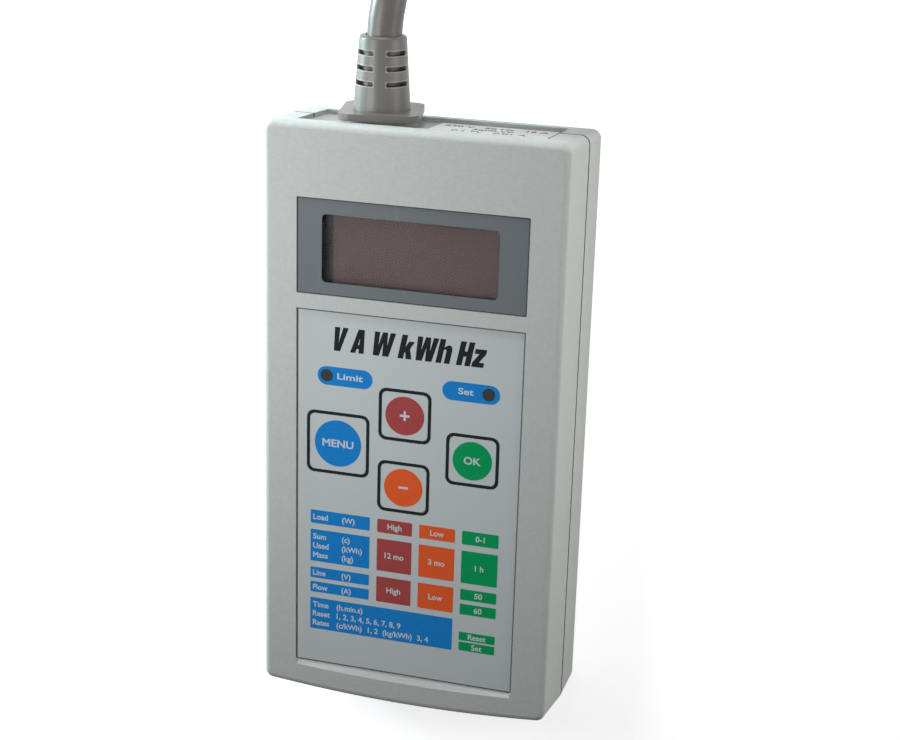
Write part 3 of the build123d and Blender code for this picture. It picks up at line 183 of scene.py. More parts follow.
class Effects:
    """Shader node groups that several finishes share, each built once."""

    swell_scale: float = 0.2
    swell_share: float = 0.4
    scuff_turn: Point = (0.3, 0.2, 0.9)
    scuff_scale: Point = (900.0, 60.0, 300.0)
    scuff_edge: Span = (0.66, 0.74)
    handled_scale: float = 45.0
    handled_edge: Span = (0.5, 0.62)
    dust_scale: float = 1800.0
    dust_edge: Span = (0.7, 0.78)
    rim_core: float = 0.5
    kinds: dict[str, str] = {
        "Colour": "Color", "Second Colour": "Color", "Mark Colour": "Color",
        "Low": "Vector", "High": "Vector",
    }

    @staticmethod
    def start(name: str, inputs: str, outputs: str) -> tuple[Sheet, Outputs, bpy.types.Node]:
        """Make an empty group with named sockets, which carry a number unless kinds says otherwise.

        Args:
            name: Name of the group.
            inputs: Names of the inputs, with commas between them.
            outputs: Names of the outputs, likewise.

        Returns:
            The sheet, what comes in, and the node that takes what goes out.
        """
        group = bpy.data.node_groups.new(name, "ShaderNodeTree")
        for way, titles in (("INPUT", inputs), ("OUTPUT", outputs)):
            for title in titles.split(", "):
                kind = "NodeSocket" + Effects.kinds.get(title, "Float")
                group.interface.new_socket(name=title, in_out=way, socket_type=kind)
        entry = group.nodes.new("NodeGroupInput")
        leave = group.nodes.new("NodeGroupOutput")
        return Sheet(group), entry.outputs, leave

    @staticmethod
    @cache
    def mottle() -> Tree:
        """Build soft patches that drift between two colours.

        Returns:
            Group with Colour, Second Colour, Patch Size and Amount in, and Colour out.
        """
        sheet, given, leave = Effects.start("Mottle", "Colour, Second Colour, Patch Size, Amount", "Colour")
        scale = sheet.math("DIVIDE", 1.0, given["Patch Size"])
        patches = sheet.noise(sheet.here(), scale, detail=3.0, roughness=0.6)
        share = sheet.math("MULTIPLY", patches, given["Amount"])
        sheet.fill(leave, {"Colour": sheet.blend(share, given["Colour"], given["Second Colour"])})
        return sheet.tree

    @staticmethod
    @cache
    def grain() -> Tree:
        """Build the fine eroded grain of a moulded or rolled surface.

        Returns:
            Group with Grain Size, Roughness and Roughness Spread in, and Height and Roughness out.
        """
        sheet, given, leave = Effects.start(
            "Grain", "Grain Size, Roughness, Roughness Spread", "Height, Roughness"
        )
        place = sheet.here()
        scale = sheet.math("DIVIDE", 1.0, given["Grain Size"])
        pits = sheet.noise(place, scale, detail=2.0, roughness=0.55)
        swell = sheet.noise(place, sheet.math("MULTIPLY", scale, Effects.swell_scale), detail=1.0)
        height = sheet.math("MULTIPLY_ADD", swell, Effects.swell_share, pits)
        spread = sheet.math("SUBTRACT", pits, 0.5)
        rough = sheet.math(
            "MULTIPLY_ADD", spread, given["Roughness Spread"], given["Roughness"], use_clamp=True
        )
        sheet.fill(leave, {"Height": height, "Roughness": rough})
        return sheet.tree

    @staticmethod
    @cache
    def handling() -> Tree:
        """Build faint marks of use: thin scuffs where it is handled, and a little dust.

        Returns:
            Group with Colour, Mark Colour, Scuffs and Dust in, and Colour out.
        """
        sheet, given, leave = Effects.start("Handling", "Colour, Mark Colour, Scuffs, Dust", "Colour")
        place = sheet.here()
        stretched = sheet.add(
            "Mapping", {"Vector": place, "Rotation": Effects.scuff_turn, "Scale": Effects.scuff_scale}
        ).outputs[0]
        thin = sheet.ramp(sheet.noise(stretched, 1.0, detail=1.0), *Effects.scuff_edge)
        near = sheet.ramp(sheet.noise(place, Effects.handled_scale, detail=2.0), *Effects.handled_edge)
        dots = sheet.ramp(sheet.noise(place, Effects.dust_scale, detail=1.0), *Effects.dust_edge)
        scuffs = sheet.math("MULTIPLY", sheet.math("MULTIPLY", thin, near), given["Scuffs"])
        dust = sheet.math("MULTIPLY", dots, given["Dust"])
        mark = sheet.math("ADD", scuffs, dust, use_clamp=True)
        sheet.fill(leave, {"Colour": sheet.blend(mark, given["Colour"], given["Mark Colour"])})
        return sheet.tree

    @staticmethod
    @cache
    def rim() -> Tree:
        """Build a line along the edge of a flat rectangular piece, where painted shade goes.

        Returns:
            Group with the piece's Low and High corners and the line's Width in, and Mask out.
        """
        sheet, given, leave = Effects.start("Rim", "Low, High, Width", "Mask")
        place = sheet.here()
        inside = []
        for first, second in ((place, given["Low"]), (given["High"], place)):
            parts = sheet.split(sheet.vector("SUBTRACT", first, second))
            inside.append(sheet.math("MINIMUM", parts["X"], parts["Y"]))
        core = sheet.math("MULTIPLY", given["Width"], Effects.rim_core)
        sheet.fill(leave, {"Mask": sheet.ramp(sheet.math("MINIMUM", *inside), given["Width"], core)})
        return sheet.tree


@dataclass(frozen=True)
class Finish:
    """Surface finish with mottled colour, fine grain and faint marks of use.

    Colours are levels of 0 to 255, the sizes of grain and patches are in millimetres, and the spread
    says how far the roughness wanders.
    """

    name: str
    colour: Levels
    second: Levels
    roughness: float = 0.5
    spread: float = 0.1
    grain_size: float = 0.5
    grain_depth: float = 0.02
    patch_size: float = 30
    patch_amount: float = 0.6
    mark_colour: Levels = (235, 236, 234)
    scuffs: float = 0.0
    dust: float = 0.0
    metallic: float = 0.0
    specular: float = 0.5
    sheen: float = 0.0
    ior: float = 1.5
    transmission: float = 0.0

    def pattern(self, sheet: Sheet) -> Socket:
        """Give the colour before the marks of use.

        Args:
            sheet: Tree of the material.

        Returns:
            Socket that carries the colour.
        """
        return sheet.place(Effects.mottle(), {
            "Colour": linear(self.colour),
            "Second Colour": linear(self.second),
            "Patch Size": self.patch_size * MM,
            "Amount": self.patch_amount,
        })["Colour"]

    @cache
    def build(self) -> bpy.types.Material:
        """Build the material, once for each finish.

        Returns:
            The material.
        """
        material, sheet, shader = start_material("finish_" + self.name)
        marks = sheet.place(Effects.handling(), {
            "Colour": self.pattern(sheet),
            "Mark Colour": linear(self.mark_colour),
            "Scuffs": self.scuffs,
            "Dust": self.dust,
        })
        grain = sheet.place(Effects.grain(), {
            "Grain Size": self.grain_size * MM,
            "Roughness": self.roughness,
            "Roughness Spread": self.spread,
        })
        bump = sheet.add(
            "Bump", {"Height": grain["Height"], "Strength": 1.0, "Distance": self.grain_depth * MM}
        )
        sheet.fill(shader, {
            "Base Color": marks["Colour"],
            "Roughness": grain["Roughness"],
            "Normal": bump.outputs["Normal"],
            "Metallic": self.metallic,
            "Specular IOR Level": self.specular,
            "Sheen Weight": self.sheen,
            "IOR": self.ior,
            "Transmission Weight": self.transmission,
        })
        return material


@dataclass(frozen=True)
class MaskedFinish(Finish):
    """Finish with one more colour where a mask is 1: the base of those that follow."""

    masked_colour: Levels = (60, 64, 66)

    def mask(self, sheet: Sheet) -> Socket:
        """Give the mask, which each finish has of its own."""
        raise NotImplementedError

    def pattern(self, sheet: Sheet) -> Socket:
        """Give the mottled colour with the masked colour over it."""
        return sheet.blend(self.mask(sheet), super().pattern(sheet), linear(self.masked_colour))


@dataclass(frozen=True)
class SeamShadedFinish(MaskedFinish):
    """Case finish with painted shade in the part line."""

    seam_low: float = 18.2 * MM
    seam_high: float = 19.0 * MM
    seam_blur: float = 0.3 * MM

    def mask(self, sheet: Sheet) -> Socket:
        """Mask the part line, where the shade is painted.

        Args:
            sheet: Tree of the material.

        Returns:
            Socket that is 1 in the line.
        """
        middle = (self.seam_low + self.seam_high) / 2
        half = (self.seam_high - self.seam_low) / 2
        offset = sheet.math("SUBTRACT", sheet.split(sheet.here())["Z"], middle)
        # Painted shade: 1 inside the part line, fading out over the blur.
        return sheet.ramp(sheet.math("ABSOLUTE", offset), half + self.seam_blur, half)


@dataclass(frozen=True)
class EdgeShadedFinish(MaskedFinish):
    """Finish of a flat piece in a recess, with painted shade in a line along its edge, below the recess wall.
    """

    node: str = ""
    rim_width: float = 0.4 * MM

    def mask(self, sheet: Sheet) -> Socket:
        """Mask the line of painted shade along the edge of the node."""
        low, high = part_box(self.node)
        return sheet.place(Effects.rim(), {"Low": low, "High": high, "Width": self.rim_width})["Mask"]


@dataclass(frozen=True)
class DisplayFinish(MaskedFinish):
    """Display glass with the darker strip beside its polariser."""

    strip_edge: float = -26.7 * MM
    strip_blur: float = 0.5 * MM

    def mask(self, sheet: Sheet) -> Socket:
        """Mask the strip at the left end."""
        across = sheet.split(sheet.here())["X"]
        return sheet.ramp(across, self.strip_edge + self.strip_blur, self.strip_edge)


@dataclass(frozen=True)
class SlottedFinish(Finish):
    """Vinyl of the strain relief: slots with a painted highlight at the edge and painted shade at the bottom.
    """

    axis_x: float = -17.0 * MM
    axis_z: float = 20.0 * MM
    base_y: float = 99.5 * MM
    tip_y: float = 122.5 * MM
    plain_tip: float = 1.5 * MM
    base_radius: float = 9.0 * MM
    tip_radius: float = 7.4 * MM
    edge_depth: float = 0.14 * MM
    bottom_depth: float = 0.4 * MM
    depth_blur: float = 0.08 * MM
    rows: int = 3
    first_row: float = 8.6 * MM
    row_pitch: float = 4.7 * MM
    slot_half: float = 0.75 * MM
    rib_half: float = 2.0 * MM
    rib_turn: float = radians(-12)
    rim_width: float = 0.28 * MM
    # Painted highlight on the slots' edges and painted shade in their bottoms
    edge_highlight_colour: Levels = (146, 144, 138)
    bottom_shade_colour: Levels = (66, 56, 48)

    def pattern(self, sheet: Sheet) -> Socket:
        """Give the colour with a painted highlight on the slots' edges and painted shade in their bottoms.

        Args:
            sheet: Tree of the material.

        Returns:
            Socket that carries the colour.
        """
        place = sheet.here()
        along = sheet.split(place)["Y"]
        centred = sheet.vector("SUBTRACT", place, (self.axis_x, 0, self.axis_z))
        across = sheet.vector("MULTIPLY", centred, (1, 0, 1))
        surface = sheet.ramp(along, self.base_y, self.tip_y, self.base_radius, self.tip_radius)
        depth = sheet.math("SUBTRACT", surface, sheet.vector("LENGTH", across))
        before_tip = sheet.math("LESS_THAN", along, self.tip_y - self.plain_tip)
        edge, bottom = linear(self.edge_highlight_colour), linear(self.bottom_shade_colour)
        colour = sheet.blend(self.highlight_rims(sheet, along, across), super().pattern(sheet), edge)
        # Painted highlight just inside each slot, then painted shade at its bottom
        for limit, shade in ((self.edge_depth, edge), (self.bottom_depth, bottom)):
            under = sheet.ramp(depth, limit, limit + self.depth_blur)
            colour = sheet.blend(sheet.math("MULTIPLY", under, before_tip), colour, shade)
        return colour

    def highlight_rims(self, sheet: Sheet, along: Socket, across: Socket) -> Socket:
        """Mask the slots and the rim round each, where the highlight is painted.

        Args:
            sheet: Tree of the material.
            along: Place along the axis.
            across: Place across it, as a vector from the axis.

        Returns:
            Socket that is 1 there.
        """
        middle = self.base_y + self.first_row + self.row_pitch * (self.rows - 1) / 2
        offset = sheet.math("SUBTRACT", along, middle)
        rows = sheet.math("COMPARE", along, middle, self.row_pitch * self.rows / 2)
        wrapped = sheet.math("WRAP", offset, self.row_pitch / 2, -self.row_pitch / 2)
        near = sheet.math("LESS_THAN", sheet.math("ABSOLUTE", wrapped), self.slot_half + self.rim_width)
        turned = sheet.add(
            "VectorRotate", {"Vector": across, "Angle": self.rib_turn}, rotation_type="Y_AXIS"
        ).outputs[0]
        parts = sheet.split(sheet.vector("ABSOLUTE", turned))
        least = sheet.math("MINIMUM", parts["X"], parts["Z"])
        clear = sheet.math("GREATER_THAN", least, self.rib_half - self.rim_width)
        return sheet.math("MULTIPLY", sheet.math("MULTIPLY", rows, near), clear)


@dataclass(frozen=True)
class BandedFinish(Finish):
    """Surface with even bands of the second colour: windings, cores, tracks and ribbons."""

    wave_length: ClassVar[float] = pi / 10
    band_width: float = 1.0 * MM
    band_axis: str = "X"
    band_share: float = 0.5
    band_blur: float = 0.1
    band_wander: float = 0.0

    def pattern(self, sheet: Sheet) -> Socket:
        """Give the banded colour.

        Args:
            sheet: Tree of the material.

        Returns:
            Socket that carries the colour.
        """
        scale = self.wave_length / self.band_width
        inputs = {"Vector": sheet.here(), "Scale": scale, "Distortion": self.band_wander}
        wave = sheet.add("TexWave", inputs, bands_direction=self.band_axis).outputs["Fac"]
        edge = sheet.ramp(wave, self.band_share - self.band_blur, self.band_share + self.band_blur)
        return sheet.blend(edge, linear(self.colour), linear(self.second))


@dataclass(frozen=True)
class BoardFinish(Finish):
    """Solder-masked board with copper tracks and round pads."""

    track_pitch: float = 2.54 * MM
    pitches_per_brick: int = 4
    pitches_per_pad: int = 2
    dark_share: float = 0.8
    track_share: float = 1.6
    track_width: float = 0.03
    pad_scatter: float = 0.3
    pad_edge: Span = (0.16, 0.14)

    def pattern(self, sheet: Sheet) -> Socket:
        """Give the mask's colour with tracks and pads in the second colour.

        Args:
            sheet: Tree of the material.

        Returns:
            Socket that carries the colour.
        """
        place = sheet.here()
        bricks = sheet.add("TexBrick", {
            "Vector": place,
            "Color1": linear(self.colour),
            "Color2": self.shade(self.dark_share),
            "Mortar": self.shade(self.track_share),
            "Scale": 1 / (self.track_pitch * self.pitches_per_brick),
            "Mortar Size": self.track_width,
        })
        cells = sheet.add("TexVoronoi", {
            "Vector": place,
            "Scale": 1 / (self.track_pitch * self.pitches_per_pad),
            "Randomness": self.pad_scatter,
        })
        pads = sheet.ramp(cells.outputs["Distance"], *self.pad_edge)
        return sheet.blend(pads, bricks.outputs["Color"], linear(self.second))

    def shade(self, share: float) -> Colour:
        """Give the mask's colour, darker or lighter by a share."""
        return (*(share * value for value in linear(self.colour)[:3]), 1.0)


def ink(name: str, colour: Levels, second: Levels) -> Finish:
    """Make a coloured ink of the overlay's print."""
    return Finish("ink_" + name, colour, second, roughness=0.42, dust=0.1, specular=0.1)


class Palette:
    """Finishes of the object, by what they cover."""

    case = SeamShadedFinish(
        "case_texture", (202, 206, 202), (188, 191, 188), roughness=0.58, spread=0.2,
        grain_size=0.8, grain_depth=0.07, patch_size=1.4, patch_amount=1.0, scuffs=0.04, dust=0.12,
        # masked colour: the painted shade in the part line
        specular=0.2, masked_colour=(78, 82, 82),
    )
    recess_lip = Finish("panel_smooth", (152, 151, 146), (144, 144, 139), grain_size=0.4)
    label = Finish("label_paper", (232, 230, 228), (224, 222, 221), grain_depth=0.004, specular=0.2)
    # The plate and the film carry a line of painted shade along their edges, in their masked colour.
    plate = EdgeShadedFinish(
        "plate_grey", (110, 117, 120), (103, 110, 113), spread=0.15, grain_size=0.3,
        grain_depth=0.01, scuffs=0.03, dust=0.1, specular=0.2, node="display_plate",
    )
    film = EdgeShadedFinish(
        "overlay_film", (201, 208, 209), (194, 201, 203), roughness=0.42, spread=0.12,
        grain_size=0.25, grain_depth=0.006, scuffs=0.05, dust=0.12, specular=0.15, node="overlay_film",
        rim_width=0.55 * MM, masked_colour=(92, 98, 98),
    )
    window = Finish(
        "window_clear", (246, 248, 248), (242, 245, 246), roughness=0.06, spread=0.03,
        grain_depth=0.0005, dust=0.02, ior=1.12, specular=0.15, transmission=1.0,
    )
    lamp_window = Finish(
        "lamp_window", (58, 58, 62), (48, 48, 52), roughness=0.4, grain_depth=0.002, specular=0.15
    )
    lamp = Finish("lamp_lens", (190, 40, 34), (170, 32, 30), roughness=0.25, transmission=0.5)
    lcd = DisplayFinish(
        "lcd_glass", (79, 64, 63), (91, 77, 76), roughness=0.45, spread=0.05, grain_size=0.8,
        grain_depth=0.0002, patch_size=40, patch_amount=1.0, specular=0.1, masked_colour=(52, 53, 52),
    )
    black_metal = Finish("black_metal", (18, 18, 20), (14, 14, 16), roughness=0.6, specular=0.1)
    white_plastic = Finish("white_plastic", (226, 226, 221), (216, 216, 210))
    black_plastic = Finish("black_plastic", (40, 40, 42), (32, 32, 34), roughness=0.55, grain_depth=0.012)
    steel = Finish(
        "zinc_steel", (190, 190, 188), (168, 168, 166), roughness=0.34, metallic=1.0, grain_size=0.3,
        grain_depth=0.006, patch_size=6,
    )
    brass = Finish(
        "plated_brass", (214, 188, 128), (190, 160, 100), roughness=0.3, metallic=1.0, grain_size=0.3,
        grain_depth=0.005, patch_size=5, scuffs=0.3,
    )
    copper = Finish("shunt_alloy", (198, 142, 108), (176, 118, 84), roughness=0.35, metallic=1.0)
    board = BoardFinish("solder_mask", (20, 96, 52), (196, 178, 110), roughness=0.3, grain_depth=0.008)
    ribbon = BandedFinish("ribbon_cable", (168, 168, 168), (140, 140, 140), band_width=1.27 * MM)
    laminations = BandedFinish(
        "core_laminations", (96, 96, 100), (70, 70, 74), roughness=0.45, metallic=0.6, band_width=0.7 * MM,
        band_axis="Y",
    )
    winding = BandedFinish(
        "winding_tape", (214, 178, 60), (196, 158, 46), roughness=0.4, band_width=1.4 * MM, band_axis="Z",
        band_wander=0.6,
    )
    sleeve = BandedFinish(
        "capacitor_sleeve", (30, 36, 78), (44, 52, 104), roughness=0.3, band_width=5 * MM, band_share=0.8
    )
    resistor = BandedFinish(
        "resistor_bands", (204, 176, 128), (120, 62, 40), roughness=0.4, band_width=1.1 * MM,
        band_axis="Y", band_share=0.75,
    )
    varistor = Finish("varistor_coat", (186, 62, 40), (168, 50, 34), roughness=0.3)
    fuse_glass = Finish("fuse_glass", (238, 242, 242), (232, 238, 238), roughness=0.08, transmission=0.9)
    terminal = Finish("terminal_green", (40, 128, 78), (34, 116, 70), roughness=0.45, grain_depth=0.01)
    sheath = Finish(
        "cord_sheath", (105, 101, 95), (98, 94, 89), roughness=0.38, spread=0.15, grain_size=0.9,
        grain_depth=0.012, patch_size=25, scuffs=0.1, dust=0.15, specular=0.35,
    )
    relief = SlottedFinish(
        "relief_vinyl", (110, 107, 101), (104, 101, 96), roughness=0.38, spread=0.15,
        grain_depth=0.012, patch_size=20, scuffs=0.05, dust=0.1, specular=0.4,
    )
    cores = BandedFinish("core_insulation", (120, 70, 40), (40, 90, 150), roughness=0.45, band_width=6.0 * MM)
    tie = BandedFinish(
        "woven_tie", (34, 34, 36), (48, 48, 50), roughness=0.75, band_width=0.5 * MM, band_axis="DIAGONAL",
        sheen=0.3,
    )
    ink_black = Finish("ink_black", (34, 37, 38), (40, 43, 44), specular=0.05)
    ink_pale = Finish("ink_pale", (206, 216, 220), (198, 208, 212), roughness=0.42, specular=0.15)
    inks: ClassVar[dict[str, Finish]] = {
        "blue": ink("blue", (30, 134, 212), (24, 126, 202)),
        "red": ink("red", (171, 76, 74), (162, 70, 68)),
        "orange": ink("orange", (236, 98, 48), (228, 92, 44)),
        "green": ink("green", (4, 156, 92), (2, 148, 86)),
    }


def dress(finish: Finish, *nodes: str) -> None:
    """Give carried CAD nodes a finish.

    Args:
        finish: The finish.
        *nodes: Names of the nodes.
    """
    material = finish.build()
    for name in nodes:
        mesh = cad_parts[name].data
        mesh.materials.clear()
        mesh.materials.append(material)
        logger.info("node %s: %s", name, finish.name)


def add_object(name: str, data: bpy.types.ID) -> bpy.types.Object:
    """Put an object into the scene.

    Args:
        name: Name of the object.
        data: Its mesh, curve, light or camera.

    Returns:
        The object.
    """
    holder = bpy.data.objects.new(name, data)
    bpy.context.scene.collection.objects.link(holder)
    return holder


def add_piece(name: str, mesh: BMesh, finish: Finish,
              body: Body = Body.CASE) -> None:
    """Make a piece from a mesh and let it ride on a body.

    Args:
        name: Name of the piece.
        mesh: Its mesh, which is freed.
        finish: Its finish.
        body: Body that carries it.
    """
    data = bpy.data.meshes.new(name)
    mesh.to_mesh(data)
    mesh.free()
    data.materials.append(finish.build())
    piece = add_object(name, data)
    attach(piece, body.value)
    logger.info("piece %s: %d faces on %s", name, len(data.polygons), body.value)


def rounded_outline(width: float, height: float, radius: float, centre: Span, edge_steps: int = 1,
                    arc_steps: int = 8) -> list[Vector]:
    """Outline of a rectangle with round corners, anticlockwise.

    Args:
        width: Size along X.
        height: Size along Y.
        radius: Radius of the corners.
        centre: Middle of the rectangle.
        edge_steps: How many spans each straight edge has.
        arc_steps: How many spans each corner has.

    Returns:
        Points of the outline, flat at height zero.
    """
    corners = ((1, 1, 0), (-1, 1, 90), (-1, -1, 180), (1, -1, 270))
    arcs = []
    for side, end, start in corners:
        middle = Vector((centre[0] + side * (width / 2 - radius), centre[1] + end * (height / 2 - radius), 0))
        angles = [radians(start + 90 * step / arc_steps) for step in range(arc_steps + 1)]
        arcs.append([middle + Vector((radius * cos(angle), radius * sin(angle), 0)) for angle in angles])
    points = []
    for arc, following in zip(arcs, arcs[1:] + arcs[:1]):
        points += arc
        points += [arc[-1].lerp(following[0], step / edge_steps) for step in range(1, edge_steps)]
    return points


def add_ink(mesh: BMesh, outline: list[Vector], low: float, high: float,
            hole: list[Vector] | None = None) -> None:
    """Lay a patch of ink: a thin slab inside an outline, or between it and a hole.

    Args:
        mesh: Mesh that takes the patch.
        outline: Outer outline.
        low: Height of the underside.
        high: Height of the top.
        hole: Inner outline with as many points as the outer one.
    """
    rings = []
    for points in (outline, hole or []):
        rings += [[mesh.verts.new(point + Vector((0, 0, z))) for point in points] for z in (low, high)]
    under, over, hole_under, hole_over = rings
    walls = [(under, over)]
    if hole is None:
        mesh.faces.new(over)
        mesh.faces.new(under[::-1])
    else:
        walls += [(over, hole_over), (hole_over, hole_under), (hole_under, under)]
    count = len(outline)
    for first, second in walls:
        for index in range(count):
            after = (index + 1) % count
            mesh.faces.new([first[index], first[after], second[after], second[index]])


@dataclass(frozen=True)
class Word:
    """A word of the print: its text, anchor and cap height in metres."""

    text: str
    x: float
    y: float
    height: float
    align: Align = Align.LEFT
    width: float | None = None
    weight: float = 0.022

    def add_to(self, mesh: BMesh, low: float, high: float) -> None:
        """Set the word as thin ink.

        Args:
            mesh: Mesh that takes the letters.
            low: Height of the underside.
            high: Height of the top.
        """
        cap = self.letters("H")
        scale = self.height / max(vertex.co.y for vertex in cap.vertices)
        bpy.data.meshes.remove(cap)
        letters = self.letters(self.text)
        xs = [vertex.co.x for vertex in letters.vertices]
        natural = max(xs) - min(xs)
        stretch = scale if self.width is None else self.width / natural
        start = min(xs) + self.align.value * natural
        for face in letters.polygons:
            face.use_smooth = False
        for vertex in letters.vertices:
            x, y, z = vertex.co
            vertex.co = (self.x + (x - start) * stretch, self.y + y * scale, high if z > 0 else low)
        mesh.from_mesh(letters)
        bpy.data.meshes.remove(letters)

    def letters(self, text: str) -> bpy.types.Mesh:
        """Mesh of a text at size one.

        Args:
            text: The text.

        Returns:
            A new mesh, extruded along Z.
        """
        curve = bpy.data.curves.new("letters", "FONT")
        curve.body = text
        curve.bevel_depth = self.weight
        curve.bevel_resolution = 0
        curve.extrude = 0.01
        curve.resolution_u = 6
        holder = add_object("letters", curve)
        bpy.context.view_layer.update()
        mesh = bpy.data.meshes.new_from_object(holder.evaluated_get(bpy.context.evaluated_depsgraph_get()))
        bpy.data.objects.remove(holder)
        bpy.data.curves.remove(curve)
        return mesh


@dataclass(frozen=True)
class Heading:
    """Line of heavy, narrow, slanted letters, each drawn from its own outline."""

    units: ClassVar[float] = 100.0  # height of a capital in the outlines
    outlines: ClassVar[dict[str, tuple[tuple[Span, ...], ...]]] = {
        "A": (
            ((0, 0), (24, 0), (31, 64), (38, 0), (62, 0), (45, 100), (17, 100)),
            ((25.86, 17), (36.14, 17), (34.17, 35), (27.83, 35)),
        ),
        "H": ((
            (0, 0), (25, 0), (25, 38), (37, 38), (37, 0), (62, 0),
            (62, 100), (37, 100), (37, 60), (25, 60), (25, 100), (0, 100),
        ),),
        "V": (((0, 100), (17, 0), (45, 0), (62, 100), (38, 100), (31, 36), (24, 100)),),
        "W": ((
            (0, 100), (12, 0), (40, 0), (47.5, 55), (55, 0), (83, 0), (95, 100),
            (71, 100), (67, 42), (59, 100), (36, 100), (28, 42), (24, 100),
        ),),
        "h": ((
            (0, 0), (25, 0), (25, 50), (27, 57), (31, 59), (35, 57), (37, 50), (37, 0),
            (62, 0), (62, 55), (59, 68), (52, 76), (42, 77), (33, 73), (25, 65),
            (25, 100), (0, 100),
        ),),
        "k": ((
            (0, 0), (25, 0), (25, 22), (29, 29), (36, 0), (63, 0), (47, 43),
            (61, 74), (36, 74), (25, 50), (25, 100), (0, 100),
        ),),
        "z": ((
            (0, 0), (52, 0), (52, 20), (29, 20), (52, 56), (52, 75),
            (2, 75), (2, 55), (23, 55), (0, 18),
        ),),
    }
    text: str
    x: float
    y: float
    height: float
    width: float
    slant: float = 0.2
    gap: float = 0.06
    space: float = 0.17

    def letter_width(self, letter: str) -> float:
        """Width of a letter in heights, or that of a space where it has no outline."""
        xs = [x / self.units for outline in self.outlines.get(letter, ()) for x, _ in outline]
        return max(xs, default=self.space)

    def add_to(self, mesh: BMesh, low: float, high: float) -> None:
        """Set the line as thin ink.

        Args:
            mesh: Mesh that takes the letters.
            low: Height of the underside.
            high: Height of the top.
        """
        whole = sum(self.letter_width(letter) + self.gap for letter in self.text) - self.gap
        stretch = (self.width - self.slant * self.height) / whole
        start = self.x
        across, up = stretch / self.units, self.height / self.units
        for letter in self.text:
            for outline in self.outlines.get(letter, ()):
                points = [
                    Vector((start + x * across + self.slant * y * up, self.y + y * up, 0)) for x, y in outline
                ]
                add_ink(mesh, points, low, high)
            start += (self.letter_width(letter) + self.gap) * stretch


@dataclass
class Case:
    """Two shells, the end panel and its label, and the case screws."""

    label_text: float = 2.8 * MM
    label_pitch: float = 5.0 * MM
    label_weight: float = 0.02
    label_ink: Span = (-0.01 * MM, 0.02 * MM)
    label_lines: tuple[str, ...] = ("230 V   50 Hz   16 A", "3600 W", "0.1 W   0.01 A", "0.01 kWh")

    def build(self) -> None:
        """Dress the case's nodes and print the label."""
        dress(Palette.case, "front_shell", "rear_shell")
        dress(Palette.recess_lip, "end_panel")
        dress(Palette.label, "end_label")
        dress(Palette.steel, "case_screws")
        self.print_label()

    def print_label(self) -> None:
        """Lay plain ratings on the label, in the plane of its outer face."""
        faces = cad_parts["end_label"].data.polygons
        face = max(faces, key=lambda one: one.area * one.normal.y)
        low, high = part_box("end_label")
        centre = (low + high) / 2
        centre += face.normal * (face.center - centre).dot(face.normal)
        along = Vector((1, 0, 0))
        mesh = bmesh.new()
        for index, line in enumerate(self.label_lines):
            y = self.label_pitch * ((len(self.label_lines) - 1) / 2 - index) - self.label_text / 2
            word = Word(line, 0, y, self.label_text, Align.CENTRE, weight=self.label_weight)
            word.add_to(mesh, *self.label_ink)
        turn = Matrix((along, face.normal.cross(along), face.normal)).transposed().to_4x4()
        mesh.transform(Matrix.Translation(centre) @ turn)
        add_piece("label_ratings", mesh, Palette.ink_black)


@dataclass(frozen=True)
class Key:
    """One key: its body, the colour and size of its disc, and its word."""

    body: Body
    colour: str
    disc_share: float
    word: str = ""
    word_height: float = 0.0
    word_width: float = 0.0

    @property
    def name(self) -> str:
        """Name of the key, as in the names of its body and node."""
        return self.body.value.removesuffix("_key")

    def square(self) -> tuple[Span, float]:
        """Middle and side of the key, from the frame."""
        low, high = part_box("key_" + self.name)
        return ((low.x + high.x) / 2, (low.y + high.y) / 2), high.x - low.x


@dataclass(frozen=True)
class LampField:
    """Blue field of a status lamp, measured from the lamp's middle."""

    word: str
    way: int
    width: float
    overhang: float
    word_start: float
    word_width: float


@dataclass(frozen=True)
class Column:
    """Column of the legend: its ink, its sides, and the lines of its fields by the rows they span.

    In a line, a bar parts a word at the left from its sign. A line without a bar is centred.
    """

    ink: str
    left: float
    right: float
    fields: dict[str, tuple[str, ...]]
    sign_start: float = 0.0


def ink_heights(layer: int = 1, depth: float = 0.02 * MM, overlap: float = 0.3) -> Span:
    """Underside and top of a layer of ink, the first one on the film."""
    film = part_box("overlay_film")[1].z
    return film + (layer - 1 - overlap) * depth, film + layer * depth


